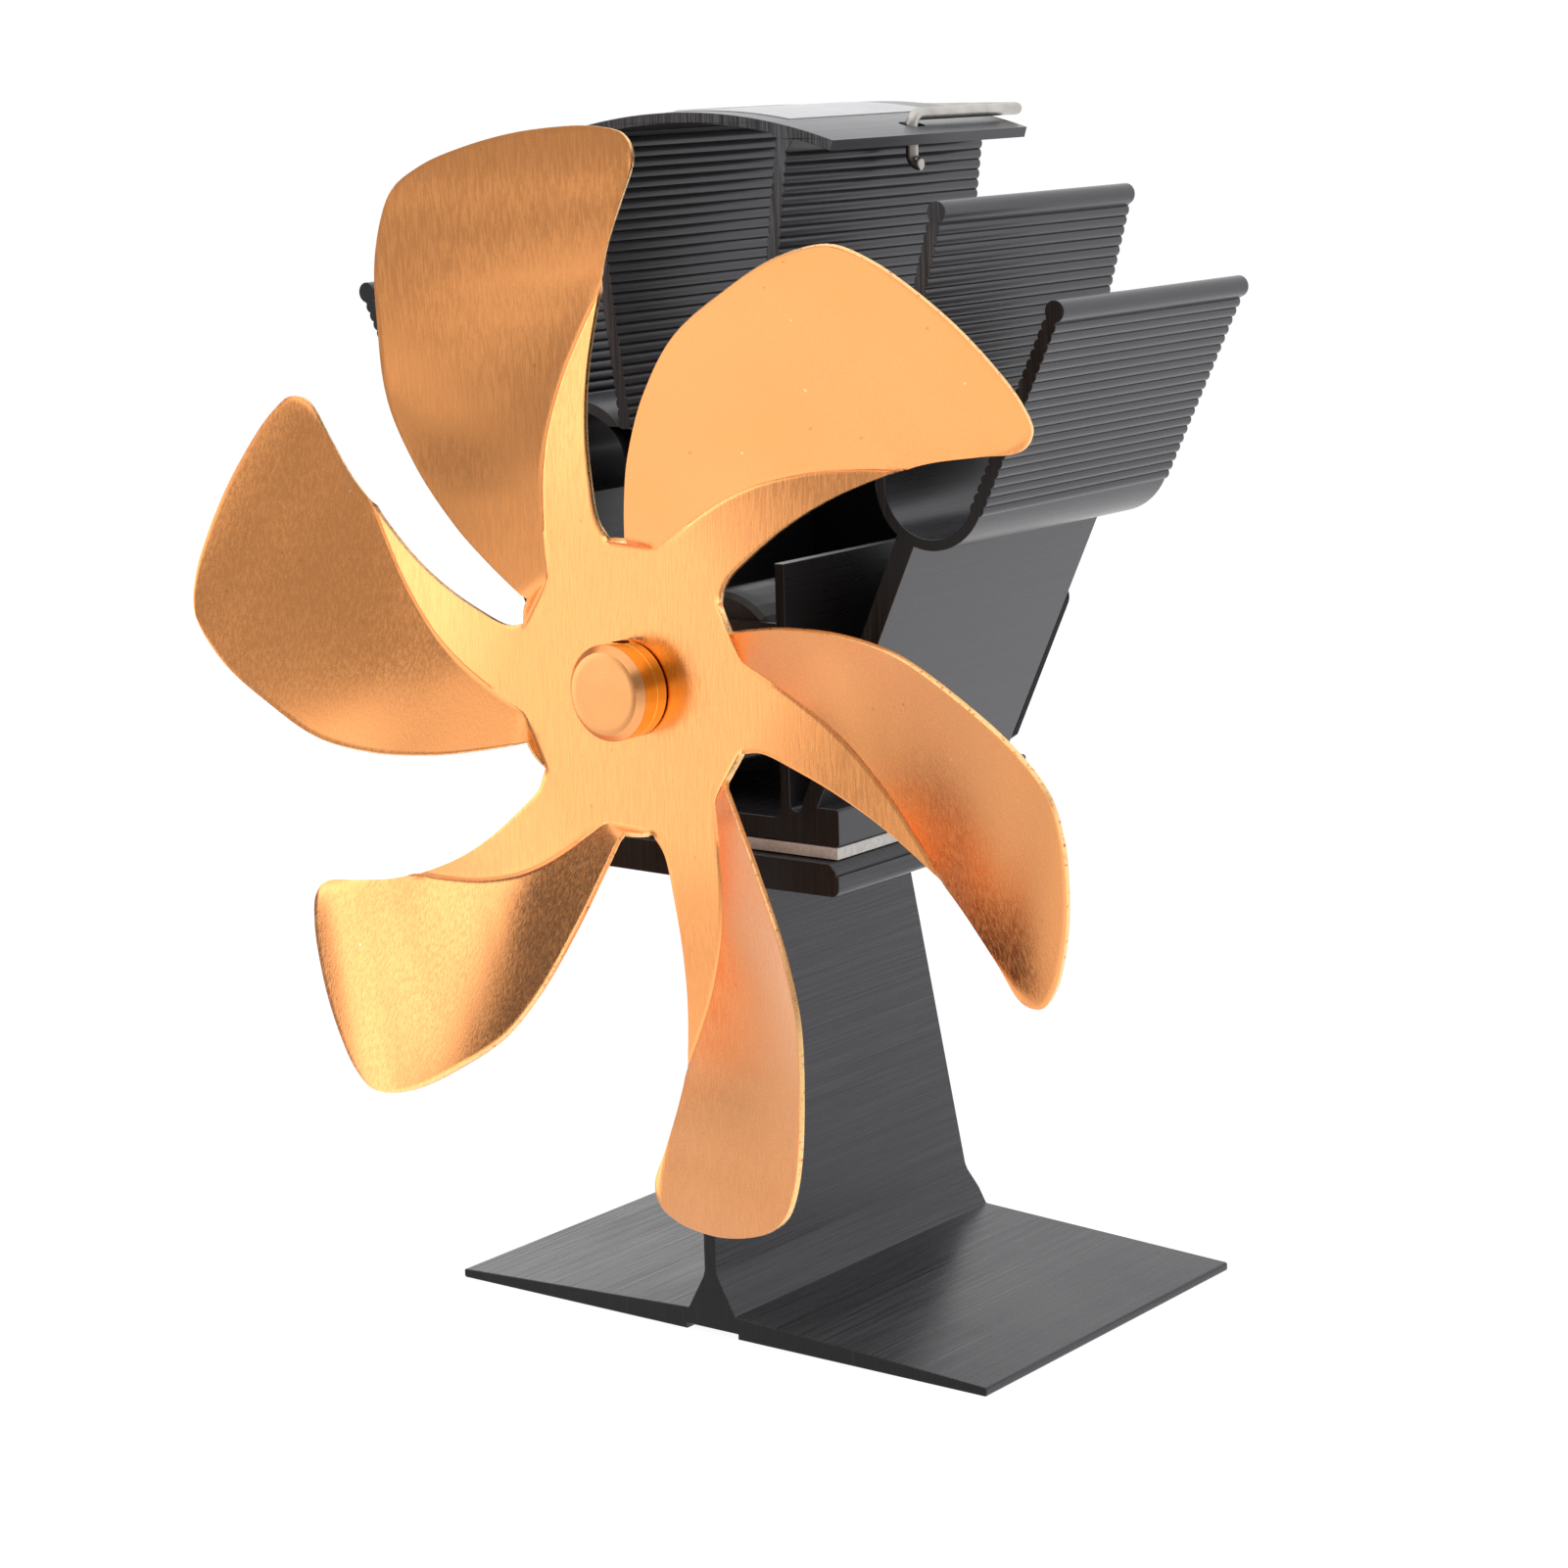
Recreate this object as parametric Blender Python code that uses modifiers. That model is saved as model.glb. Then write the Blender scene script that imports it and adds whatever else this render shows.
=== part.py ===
"""A heat-powered stove fan: a black extruded stand, a thermoelectric module clamped
between the stand's platform and an extruded heat sink, a small motor in the heat
sink's chamber, a six-blade pressed fan on its shaft, and a wire carrying handle.

Metres, +Z up, the fan faces -Y. The origin is on the surface that the stand rests on,
at the centre of the whole object's box.
"""
import math

import bmesh
import bpy
from mathutils import Matrix, Vector

MM = 0.001
GAP = 0.3 * MM                     # clearance kept between pieces that touch

# Stand: one extrusion along Y, with its stem cut back to the platform's length
STAND_FRONT = -23.5 * MM
BASE_DEPTH = 74.0 * MM
BASE_WIDTH = 110.0 * MM
BASE_EDGE = 1.5 * MM
BASE_CHAMFER = 0.4 * MM
GROOVE_HALF = 5.4 * MM
GROOVE_DEPTH = 0.9 * MM
ROOT_HALF = 4.9 * MM
ROOT_Z = 3.8 * MM
FLARE_TOP_Z = 10.3 * MM
STEM_HALF = 1.25 * MM
PLATFORM_HALF = 28.5 * MM
PLATFORM_Z = 77.4 * MM
PLATFORM_CORNER = 1.5 * MM
PLATFORM_DRAFT = 0.15 * MM        # its underside rises this much towards the sides
SIDE_GROOVE_Z = 81.0 * MM
SIDE_GROOVE = 0.5 * MM
PAD_HALF = 26.6 * MM
PAD_Z = 82.9 * MM

# Heat sink: one extrusion along Y, two millimetres behind the stand's front
SINK_FRONT = STAND_FRONT + 2.0 * MM
SINK_LENGTH = 53.4 * MM
SINK_BACK = SINK_FRONT + SINK_LENGTH
SINK_MID = SINK_FRONT + SINK_LENGTH / 2
SINK_Z = 85.35 * MM
BLOCK_HALF = 27.3 * MM
SHOULDER_Z = 91.3 * MM
FLOOR_Z = 88.9 * MM
WALL_ROOT_X = 23.2 * MM            # outer face of the splayed wall at the shoulder
WALL_SLOPE = 0.455                 # sideways travel of that wall for each unit of height
WALL_THICKNESS = 2.9 * MM
WEB_INNER_X = 15.9 * MM
WEB_THICKNESS = 1.8 * MM
WEB_TOP_Z = 129.8 * MM
CHANNEL_X = 46.0 * MM              # centre of the round channel at the top of each wall
CHANNEL_Z = 143.7 * MM
CHANNEL_OUTER = 10.1 * MM
CHANNEL_INNER = 8.35 * MM
OUTER_FIN_LEAN = math.radians(25.6)
OUTER_FIN_LENGTH = 34.2 * MM
MIDDLE_FIN_LEAN = math.radians(16.0)
MIDDLE_FIN_LENGTH = 40.2 * MM
BULB_RADIUS = 1.7 * MM
ARCH_X = 24.9 * MM                 # centre of the arch between the inner and middle fins
ARCH_Z = 144.5 * MM
ARCH_UNDER = (10.9 * MM, 8.0 * MM)
ARCH_OVER = (12.4 * MM, 9.9 * MM)
INNER_FIN_FOOT = (12.9 * MM, 145.6 * MM)
INNER_FIN_TOP = (19.8 * MM, 197.2 * MM)
FIN_HALF = 0.88 * MM
RIB_PITCH = 1.66 * MM
RIB_HEIGHT = 0.42 * MM
TOP_RADIUS = 100.0 * MM            # radius of the arched top plate's upper face
TOP_Z = 200.1 * MM
TOP_THICKNESS = 1.8 * MM
TOP_HALF_ANGLE = math.asin(0.294)
SLOT_X = 24.3 * MM
COVER_SCREW_DEPTH = 1.7 * MM       # the cover screws' distance from the splayed walls' outer faces
COVER_SCREW_RADIUS = 0.55 * MM

# Clamp between stand and heat sink
GASKET_HALF = 26.9 * MM
WINDOW_HALF = 20.6 * MM
WINDOW_BACK = 22.5 * MM            # the window runs this far behind the centre, past the solder pads
MODULE_HALF = 20.0 * MM
MODULE_PLATE = 0.6 * MM
SCREW_X = 23.7 * MM
SCREW_Y = 19.5 * MM                # each side of the heat sink's middle
COUNTERBORE_RADIUS = 3.3 * MM      # in the platform's underside, so that the heads lie flush
COUNTERBORE_Z = 81.2 * MM
LEAD_HOLE_Y = SINK_MID + 20.2 * MM

# Motor, fan and hub, all on one axis along Y
AXIS_Z = 111.3 * MM
MOTOR_RADIUS = 12.2 * MM
MOTOR_FRONT = SINK_FRONT + 6.0 * MM
MOTOR_LENGTH = 25.0 * MM
MOTOR_WALL = 1.0 * MM
SHAFT_RADIUS = 1.15 * MM
DISC_Y = STAND_FRONT - 15.0 * MM   # middle of the pressed disc
SHEET = 0.8 * MM
HUB_RADIUS = 7.7 * MM
HUB_FRONT = STAND_FRONT - 22.0 * MM
HUB_CHAMFER = 1.0 * MM
SPIGOT_RADIUS = 4.4 * MM
DISC_HOLE = 4.8 * MM
NOTCH_RADIUS = 23.5 * MM
BLADES = 6
NOTCH_ANGLE = 93.2                 # degrees, direction of the first notch
# A blade's outline in millimetres, along its own radial line and across it: out along the hollow
# edge, round the tip and back along the bulging edge
BLADE_OUTLINE = [(23.6, 2.2), (27, 4.4), (33, 5.3), (41, 5.8), (50, 5.3), (60, 3.4), (68, 1), (76.1, -2.7),
                 (82.5, -5.8), (86.4, -4.7), (87.9, -1), (88.4, 4), (88, 12.1), (86.4, 20.2), (83.9, 27.3),
                 (79.7, 32.8), (70.9, 36.1), (60, 37.2), (47.9, 37), (36.9, 33.6), (27, 28.4), (20, 23.6),
                 (14.3, 19.2)]
TIP_START, TIP_END = 8, 15         # the points of the outline that the tip lies between
# The pressed fold on the same plan; past 62 mm it has run out and only guides the sheet's pitch
FOLD_LINE = [(14, 15.4), (20, 15.4), (28, 15.4), (34.5, 14.9), (41, 13.5), (49, 10.6),
             (56.6, 6.8), (62, 3.6), (68, 1), (76, -2.7), (82.5, -4.8), (90, -5)]
PITCH_ROOT = 0.60                  # rise of the pitched panel across its width, at the disc and at the tip
PITCH_TIP = 0.392
PITCH_START_U = 12.0 * MM
PITCH_END_U = 75.0 * MM
FALL = 3.0 * MM                    # the sheet behind the fold drops this far behind the disc
FALL_END_U = 80.0 * MM

# Wire handle
WIRE = 1.0 * MM
HANDLE_LEG_Y = SINK_FRONT + 28.0 * MM
HANDLE_BAR_Y = SINK_BACK + 4.9 * MM
HANDLE_BEND = 2.0 * MM
HANDLE_PIVOT_BACK = 2.7 * MM       # the axis it turns on lies this far behind its legs
HANDLE_SPLAY = 0.6 * MM            # its arms spread by this much towards the bar
HOOK_LENGTH = 1.8 * MM

for item in list(bpy.data.objects):
    bpy.data.objects.remove(item, do_unlink=True)
PARTS = bpy.data.collections.new("stove_fan")
CUTTERS = bpy.data.collections.new("cutters")
bpy.context.scene.collection.children.link(PARTS)
bpy.context.scene.collection.children.link(CUTTERS)
CUTTERS.hide_render = True

FACING_FRONT = Matrix.Rotation(math.pi / 2, 4, "X")       # local z points to -Y, local y up
FACING_RIGHT = Matrix.Rotation(math.pi / 2, 4, "Z") @ FACING_FRONT


def finish(name, colour, roughness, metallic):
    """One Principled material."""
    material = bpy.data.materials.new(name)
    material.use_nodes = True
    shader = material.node_tree.nodes["Principled BSDF"]
    shader.inputs["Base Color"].default_value = (*colour, 1)
    shader.inputs["Roughness"].default_value = roughness
    shader.inputs["Metallic"].default_value = metallic
    return material


BLACK = (0.030, 0.030, 0.033)
GOLD = (0.85, 0.50, 0.20)
STEEL = (0.60, 0.58, 0.55)


def add_mesh(name, mesh, material, matrix=None, parent=None):
    """Puts a mesh in the parts collection as one named sub-part."""
    part = bpy.data.objects.new(name, mesh)
    PARTS.objects.link(part)
    mesh.materials.clear()
    mesh.materials.append(material)
    mesh.shade_smooth()
    mesh.set_sharp_from_angle(angle=math.radians(30))
    part.matrix_world = matrix or Matrix.Identity(4)
    if parent:
        bpy.context.view_layer.update()
        part.parent = parent
        part.matrix_parent_inverse = parent.matrix_world.inverted()
    return part


def welded_mesh(source, matrix=None):
    """Turns a curve, or an object with modifiers, into one closed mesh and removes the source."""
    bpy.context.view_layer.update()
    evaluated = source.evaluated_get(bpy.context.evaluated_depsgraph_get())
    mesh = bpy.data.meshes.new_from_object(evaluated)
    work = bmesh.new()
    work.from_mesh(mesh)
    bmesh.ops.remove_doubles(work, verts=work.verts, dist=0.002 * MM)
    bmesh.ops.recalc_face_normals(work, faces=work.faces)
    work.to_mesh(mesh)
    work.free()
    mesh.transform(matrix or Matrix.Identity(4))
    bpy.data.objects.remove(source, do_unlink=True)
    return mesh


def plate_mesh(loops, thickness):
    """A flat outline, with holes if more loops are given, standing equally on both sides of local z = 0."""
    curve = bpy.data.curves.new("outline", "CURVE")
    curve.dimensions = "2D"
    curve.fill_mode = "BOTH"
    curve.extrude = thickness / 2
    for loop in loops:
        spline = curve.splines.new("POLY")
        spline.points.add(len(loop) - 1)
        for point, (x, y) in zip(spline.points, loop):
            point.co = (x, y, 0, 1)
        spline.use_cyclic_u = True
    holder = bpy.data.objects.new("outline", curve)
    PARTS.objects.link(holder)
    return welded_mesh(holder)


def extrusion(name, loops, front, back, material):
    """A profile in X and Z carried from the front plane to the back plane."""
    middle = Matrix.Translation((0, (front + back) / 2, 0)) @ FACING_FRONT
    return add_mesh(name, plate_mesh(loops, back - front), material, middle)


def turned_mesh(profile, steps, matrix=None):
    """Turns a profile of (radius, height) round local z with a Screw modifier."""
    mesh = bpy.data.meshes.new("profile")
    count = len(profile)
    closed = profile[0][0] > 0 and profile[-1][0] > 0
    edges = [(i, (i + 1) % count) for i in range(count if closed else count - 1)]
    mesh.from_pydata([(r, 0, z) for r, z in profile], edges, [])
    holder = bpy.data.objects.new("profile", mesh)
    PARTS.objects.link(holder)
    screw = holder.modifiers.new("Turn", "SCREW")
    screw.steps = screw.render_steps = steps
    screw.use_merge_vertices = True
    screw.merge_threshold = 0.01 * MM
    return welded_mesh(holder, matrix)


def turned(name, profile, y, material, steps=32, parent=None):
    """A turned piece on the fan's axis; heights in the profile count forwards from y."""
    place = Matrix.Translation((0, y, AXIS_Z)) @ FACING_FRONT
    return add_mesh(name, turned_mesh(profile, steps), material, place, parent)


def tube_profile(outer, inner, top, bottom):
    """Section of a plain ring, from its top outer corner."""
    return [(outer, top), (outer, bottom), (inner, bottom), (inner, top)]


def copies(name, mesh, places, material):
    """Copies of one piece that share a mesh, numbered from 1."""
    for number, place in enumerate(places, 1):
        add_mesh(f"{name}_{number}", mesh, material, place)


def cutter(mesh, matrix=None):
    """A hidden shape that other pieces are cut with."""
    tool = bpy.data.objects.new("cutter", mesh)
    tool.matrix_world = matrix or Matrix.Identity(4)
    tool.display_type = "WIRE"
    tool.hide_render = True
    CUTTERS.objects.link(tool)
    return tool


def cut(part, tools, operation="DIFFERENCE"):
    """Cuts the part with each tool."""
    for tool in tools:
        change = part.modifiers.new("Cut", "BOOLEAN")
        change.operation = operation
        change.object = tool
        change.solver = "EXACT"


def drill(radius, start, end, steps=16):
    """A round cutter from one point to another."""
    start, end = Vector(start), Vector(end)
    along = end - start
    turn = along.to_track_quat("Z", "Y").to_matrix().to_4x4()
    profile = [(0, along.length), (radius, along.length), (radius, 0), (0, 0)]
    return cutter(turned_mesh(profile, steps), Matrix.Translation(start) @ turn)


def arc(centre, radius, start, end, steps):
    """Points on an ellipse or circle, angles in degrees."""
    rx, rz = radius if isinstance(radius, tuple) else (radius, radius)
    angles = [math.radians(start + (end - start) * i / steps) for i in range(steps + 1)]
    return [(centre[0] + rx * math.cos(a), centre[1] + rz * math.sin(a)) for a in angles]


def mirrored(right):
    """Closes a right-hand outline with its mirror image."""
    left = [(-x, z) for x, z in reversed(right) if abs(x) > 1e-9]
    return right + left


def ribbed(start, end, side):
    """A fin face from start to end with small ridges on its left (side 1) or right (side -1)."""
    start, end = Vector(start), Vector(end)
    count = round((end - start).length / RIB_PITCH)
    step = (end - start) / count
    out = Vector((-step.y, step.x)).normalized() * side * RIB_HEIGHT
    points = [tuple(start)]
    for i in range(count):
        points += [tuple(start + step * (i + 0.5) + out), tuple(start + step * (i + 1))]
    return points


def bulb(centre, lean, half):
    """The round bead on a fin's free edge, from its outer face over the top to its inner face."""
    spread = math.degrees(math.asin(half / BULB_RADIUS))
    down = -90 - math.degrees(lean)
    return arc(centre, BULB_RADIUS, down + spread, down + 360 - spread, 12)


def along_fin(root, lean, distance):
    """A point up a leaning fin."""
    return root[0] + math.sin(lean) * distance, root[1] + math.cos(lean) * distance


def stand_outline():
    """Section of the stand: tapered base, flared root, thin stem, grooved platform and pad."""
    half = BASE_WIDTH / 2
    fillet = 2.0 * MM
    right = [(GROOVE_HALF, GROOVE_DEPTH), (GROOVE_HALF, 0),
             (half - BASE_CHAMFER, 0), (half, BASE_CHAMFER), (half, BASE_EDGE - BASE_CHAMFER),
             (half - BASE_CHAMFER, BASE_EDGE), (ROOT_HALF, ROOT_Z), (STEM_HALF, FLARE_TOP_Z)]
    right += arc((STEM_HALF + fillet, PLATFORM_Z - fillet), fillet, 180, 90, 4)
    corner = (PLATFORM_HALF - PLATFORM_CORNER, PLATFORM_Z + PLATFORM_DRAFT + PLATFORM_CORNER)
    right += arc(corner, PLATFORM_CORNER, -90, 0, 4)
    right += [(PLATFORM_HALF, SIDE_GROOVE_Z), (PLATFORM_HALF - SIDE_GROOVE, SIDE_GROOVE_Z),
              (PLATFORM_HALF - SIDE_GROOVE, SIDE_GROOVE_Z + SIDE_GROOVE), (PAD_HALF, PAD_Z)]
    return mirrored(right)


def clamp_points():
    """Centres of the four clamp screws."""
    return [(sx * SCREW_X, SINK_MID + sy * SCREW_Y) for sx in (-1, 1) for sy in (-1, 1)]


def make_stand(black):
    """The stand: its stem cut back on a slant, its platform drilled and counterbored for the clamp screws."""
    stand = extrusion("stand", [stand_outline()], STAND_FRONT, STAND_FRONT + BASE_DEPTH, black)
    back = STAND_FRONT + BASE_DEPTH
    beyond = 5 * MM
    foot, top = Vector((back - 1.1 * MM, FLARE_TOP_Z)), Vector((SINK_BACK, PLATFORM_Z - 0.6 * MM))
    start = foot + (foot - top).normalized() * 6 * MM
    slant = [tuple(start), (back + beyond, start.y), (back + beyond, PAD_Z + beyond),
             (SINK_BACK, PAD_Z + beyond), tuple(top)]
    trim = cutter(plate_mesh([slant], BASE_WIDTH), FACING_RIGHT)
    stepped = turned_mesh([(0, PAD_Z + beyond), (2.6 * MM, PAD_Z + beyond), (2.6 * MM, COUNTERBORE_Z),
                           (COUNTERBORE_RADIUS, COUNTERBORE_Z), (COUNTERBORE_RADIUS, PLATFORM_Z - beyond),
                           (0, PLATFORM_Z - beyond)], 16)
    cut(stand, [trim] + [cutter(stepped, Matrix.Translation((x, y, 0))) for x, y in clamp_points()])
    return stand


def fin_lines():
    """Where each fin starts and where its bead is, for the right-hand side."""
    channel = (CHANNEL_X, CHANNEL_Z)
    middle_radius = (CHANNEL_OUTER + CHANNEL_INNER) / 2
    outer_root = arc(channel, middle_radius, -math.degrees(OUTER_FIN_LEAN), 0, 1)[0]
    middle_root = arc(channel, middle_radius, 180 - math.degrees(MIDDLE_FIN_LEAN), 0, 1)[0]
    return outer_root, middle_root


def fin_faces(root, lean, length, start_out, start_in):
    """Outline up a fin's outer face, over its bead and down its inner face."""
    tip = along_fin(root, lean, length)
    side = (math.cos(lean) * FIN_HALF, -math.sin(lean) * FIN_HALF)
    last = length - BULB_RADIUS
    out_top = along_fin((root[0] + side[0], root[1] + side[1]), lean, last)
    in_top = along_fin((root[0] - side[0], root[1] - side[1]), lean, last)
    face_out = ribbed(start_out, out_top, -1)
    face_in = ribbed(in_top, start_in, -1)
    return face_out + bulb(tip, lean, FIN_HALF)[1:-1] + face_in


def top_plate_arc(radius, start, end, steps):
    """Points along the arched top plate, by angle from its crest."""
    centre = (0, TOP_Z - TOP_RADIUS)
    return arc(centre, radius, 90 - math.degrees(start), 90 - math.degrees(end), steps)


def inner_fin_face(side, z):
    """A point on the inner fin's left (-1) or right (1) face at a height."""
    (x0, z0), (x1, z1) = INNER_FIN_FOOT, INNER_FIN_TOP
    return x0 + (x1 - x0) * (z - z0) / (z1 - z0) + side * FIN_HALF, z


def sink_outer():
    """The outside of the right half of the section, from the block's underside up to the crest."""
    outer_root, middle_root = fin_lines()
    channel = (CHANNEL_X, CHANNEL_Z)
    outer_angle = -math.degrees(OUTER_FIN_LEAN)
    middle_angle = 180 - math.degrees(MIDDLE_FIN_LEAN)
    points = [(BLOCK_HALF, SINK_Z), (BLOCK_HALF, SHOULDER_Z), (WALL_ROOT_X, SHOULDER_Z)]
    under = arc(channel, CHANNEL_OUTER, -108, outer_angle, 8)
    bowl = arc(channel, CHANNEL_INNER, outer_angle, middle_angle - 360, 14)
    points += under[:-1]
    points += fin_faces(outer_root, OUTER_FIN_LEAN, OUTER_FIN_LENGTH, under[-1], bowl[0])
    points += bowl[1:-1]
    over = arc((ARCH_X, ARCH_Z), ARCH_OVER, 22, 148, 10)
    lift = (over[0][1] - middle_root[1]) / math.cos(MIDDLE_FIN_LEAN)
    on_fin = along_fin((middle_root[0] - FIN_HALF / math.cos(MIDDLE_FIN_LEAN), middle_root[1]),
                       MIDDLE_FIN_LEAN, lift)
    points += fin_faces(middle_root, MIDDLE_FIN_LEAN, MIDDLE_FIN_LENGTH, bowl[-1], on_fin)
    points += over[1:-1]
    fillet = 1.5 * MM
    plate_under = TOP_RADIUS - TOP_THICKNESS
    points += ribbed(inner_fin_face(1, over[-1][1]), inner_fin_face(1, 195.2 * MM - fillet), -1)
    inner_x = inner_fin_face(1, 195.2 * MM)[0]
    points += top_plate_arc(plate_under, math.asin((inner_x + fillet) / plate_under), TOP_HALF_ANGLE, 3)
    points += top_plate_arc(TOP_RADIUS, TOP_HALF_ANGLE, 0, 9)
    return points


def sink_chamber():
    """The inside of the right half: floor, motor web, splayed wall, arch, inner fin and top plate."""
    channel = (CHANNEL_X, CHANNEL_Z)
    fillet = 1.8 * MM
    web_out = WEB_INNER_X + WEB_THICKNESS
    pocket_z = 91.6 * MM
    inner = WALL_THICKNESS * math.hypot(1, WALL_SLOPE)
    pocket_x = WALL_ROOT_X + WALL_SLOPE * (pocket_z - SHOULDER_Z) - inner
    pocket_mid = (web_out + pocket_x) / 2
    points = arc((WEB_INNER_X - fillet, FLOOR_Z + fillet), fillet, -90, 0, 3)
    points += [(WEB_INNER_X, WEB_TOP_Z), (web_out, WEB_TOP_Z)]
    points += arc((pocket_mid, pocket_z), (pocket_mid - web_out, 1.4 * MM), 180, 360, 5)
    points += arc(channel, CHANNEL_OUTER, 232, 176, 6)
    points += arc((ARCH_X, ARCH_Z), ARCH_UNDER, 4, 176, 12)
    foot = inner_fin_face(-1, ARCH_Z + 0.8 * MM)
    points += [(INNER_FIN_FOOT[0] - 0.3 * MM, ARCH_Z - 0.5 * MM)]
    top = inner_fin_face(-1, 195.8 * MM)
    points += ribbed(foot, top, 1)
    plate_under = TOP_RADIUS - TOP_THICKNESS
    points += top_plate_arc(plate_under, math.asin((top[0] - 1.2 * MM) / plate_under), 0, 4)
    return points


def cover_screw_points():
    """Four places on the splayed walls' back ends, lower pair first."""
    heights = (97.5 * MM, 116.0 * MM)
    inwards = COVER_SCREW_DEPTH * math.hypot(1, WALL_SLOPE)
    return [(side * (WALL_ROOT_X + WALL_SLOPE * (z - SHOULDER_Z) - inwards), z)
            for z in heights for side in (-1, 1)]


def bracket_screw_points():
    """Two places on each motor web, in Y and Z."""
    return [(SINK_FRONT + 2.6 * MM, AXIS_Z + rise) for rise in (-4.5 * MM, 4.5 * MM)]


def slot_cutter(side):
    """The elongated hole that a handle leg passes through."""
    half_width = 1.5 * MM
    front, back = HANDLE_LEG_Y - 1.0 * MM, HANDLE_LEG_Y + 1.2 * MM
    x = side * SLOT_X
    loop = arc((x, back), half_width, 0, 180, 6) + arc((x, front), half_width, 180, 360, 6)
    return cutter(plate_mesh([loop], 20 * MM), Matrix.Translation((0, 0, TOP_Z)))


def make_heat_sink(black):
    """The heat sink: its section carried along Y, then its slots and screw holes."""
    loops = [mirrored(sink_outer()), mirrored(sink_chamber())]
    sink = extrusion("heat_sink", loops, SINK_FRONT, SINK_BACK, black)
    tools = [slot_cutter(-1), slot_cutter(1)]
    tools += [drill(1.75 * MM, (x, y, SINK_Z - 2 * MM), (x, y, 90.2 * MM), 12) for x, y in clamp_points()]
    hole = COVER_SCREW_RADIUS + GAP
    tools += [drill(hole, (x, SINK_BACK - 6 * MM, z), (x, SINK_BACK + 2 * MM, z), 12)
              for x, z in cover_screw_points()]
    for side in (-1, 1):
        near, far = side * (WEB_INNER_X - 1 * MM), side * (WEB_INNER_X + WEB_THICKNESS + 1 * MM)
        tools += [drill(1.1 * MM, (near, y, z), (far, y, z), 12) for y, z in bracket_screw_points()]
    half = 2.2 * MM
    lead_slot = arc((3 * MM, LEAD_HOLE_Y), half, -90, 90, 6) + arc((-3 * MM, LEAD_HOLE_Y), half, 90, 270, 6)
    tools.append(cutter(plate_mesh([lead_slot], 12 * MM), Matrix.Translation((0, 0, FLOOR_Z - 2 * MM))))
    cut(sink, tools)
    return sink


def rectangle(x0, y0, x1, y1):
    """Corners of a rectangle."""
    return [(x0, y0), (x1, y0), (x1, y1), (x0, y1)]


def make_clamp(grey, ceramic, steel, nylon):
    """The gasket frame and module between platform and block, and the insulated clamp screws."""
    low, high = PAD_Z + GAP, SINK_Z - GAP
    outer = rectangle(-GASKET_HALF, SINK_FRONT, GASKET_HALF, SINK_BACK)
    window = rectangle(-WINDOW_HALF, SINK_MID - WINDOW_HALF, WINDOW_HALF, SINK_MID + WINDOW_BACK)
    holes = [arc(point, 2.6 * MM, 0, 330, 11) for point in clamp_points()]
    lift = Matrix.Translation((0, 0, (low + high) / 2))
    add_mesh("insulating_gasket", plate_mesh([outer, window] + holes, high - low), grey, lift)

    y0, y1, y2 = SINK_MID - MODULE_HALF, SINK_MID + MODULE_HALF - 2 * MM, SINK_MID + MODULE_HALF + 2 * MM
    inset = 1.5 * MM
    cold_top, hot_under = low + MODULE_PLATE, high - MODULE_PLATE
    section = [(y0, low), (y2, low), (y2, cold_top), (y1 - inset, cold_top), (y1 - inset, hot_under),
               (y1, hot_under), (y1, high), (y0, high), (y0, hot_under), (y0 + inset, hot_under),
               (y0 + inset, cold_top), (y0, cold_top)]
    add_mesh("thermoelectric_module", plate_mesh([section], 2 * MODULE_HALF), ceramic, FACING_RIGHT)

    flange = COUNTERBORE_Z - GAP
    washer, head, end = flange - 0.8 * MM - GAP, flange - 1.9 * MM - GAP, PLATFORM_Z + 0.2 * MM
    bush = [(2.3 * MM, flange), (2.3 * MM, PAD_Z - 1 * MM), (1.85 * MM, PAD_Z - 1 * MM),
            (1.85 * MM, flange - 0.8 * MM), (3.0 * MM, flange - 0.8 * MM), (3.0 * MM, flange)]
    screw = [(0, 89.8 * MM), (1.45 * MM, 89.8 * MM), (1.45 * MM, head), (2.8 * MM, head),
             (2.8 * MM, end + 0.3 * MM), (2.5 * MM, end), (0, end)]
    ring = tube_profile(2.9 * MM, 1.85 * MM, washer, washer - 0.8 * MM)
    places = [Matrix.Translation((x, y, 0)) for x, y in clamp_points()]
    copies("insulating_bush", turned_mesh(bush, 12), places, nylon)
    copies("spring_washer", turned_mesh(ring, 12), places, steel)
    copies("clamp_screw", turned_mesh(screw, 12), places, steel)


def cover_outline():
    """The back cover: sides along the splayed walls, rounded corners and an arched top."""
    bottom, corner = 93.2 * MM, 117.4 * MM
    inset, rounding = 0.05 * MM, 2.5 * MM
    lean = math.atan(WALL_SLOPE)

    def wall_x(z):
        return WALL_ROOT_X + WALL_SLOPE * (z - SHOULDER_Z) - inset
    rise, half = 20.0 * MM, 33.0 * MM
    crest = 141.5 * MM
    radius = (half ** 2 + rise ** 2) / (2 * rise)
    sweep = math.degrees(math.asin(half / radius))
    right = [(wall_x(bottom) - 1 * MM, bottom), (wall_x(bottom + 1 * MM), bottom + 1 * MM)]
    centre = (wall_x(corner) - rounding * math.cos(lean), corner + rounding * math.sin(lean))
    right += arc(centre, rounding, -math.degrees(lean), 50, 5)
    right += arc((0, crest - radius), radius, 90 - sweep + 3, 90, 10)
    return mirrored(right)


def screw_mesh(head_radius, head_height, shank_radius, length, steps=12):
    """A pan-headed screw along local z, its head's underside at z = 0 and its shank below."""
    profile = [(0, head_height), (head_radius * 0.8, head_height), (head_radius, head_height * 0.5),
               (head_radius, 0), (shank_radius, 0), (shank_radius, -length), (0, -length)]
    return turned_mesh(profile, steps)


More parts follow.
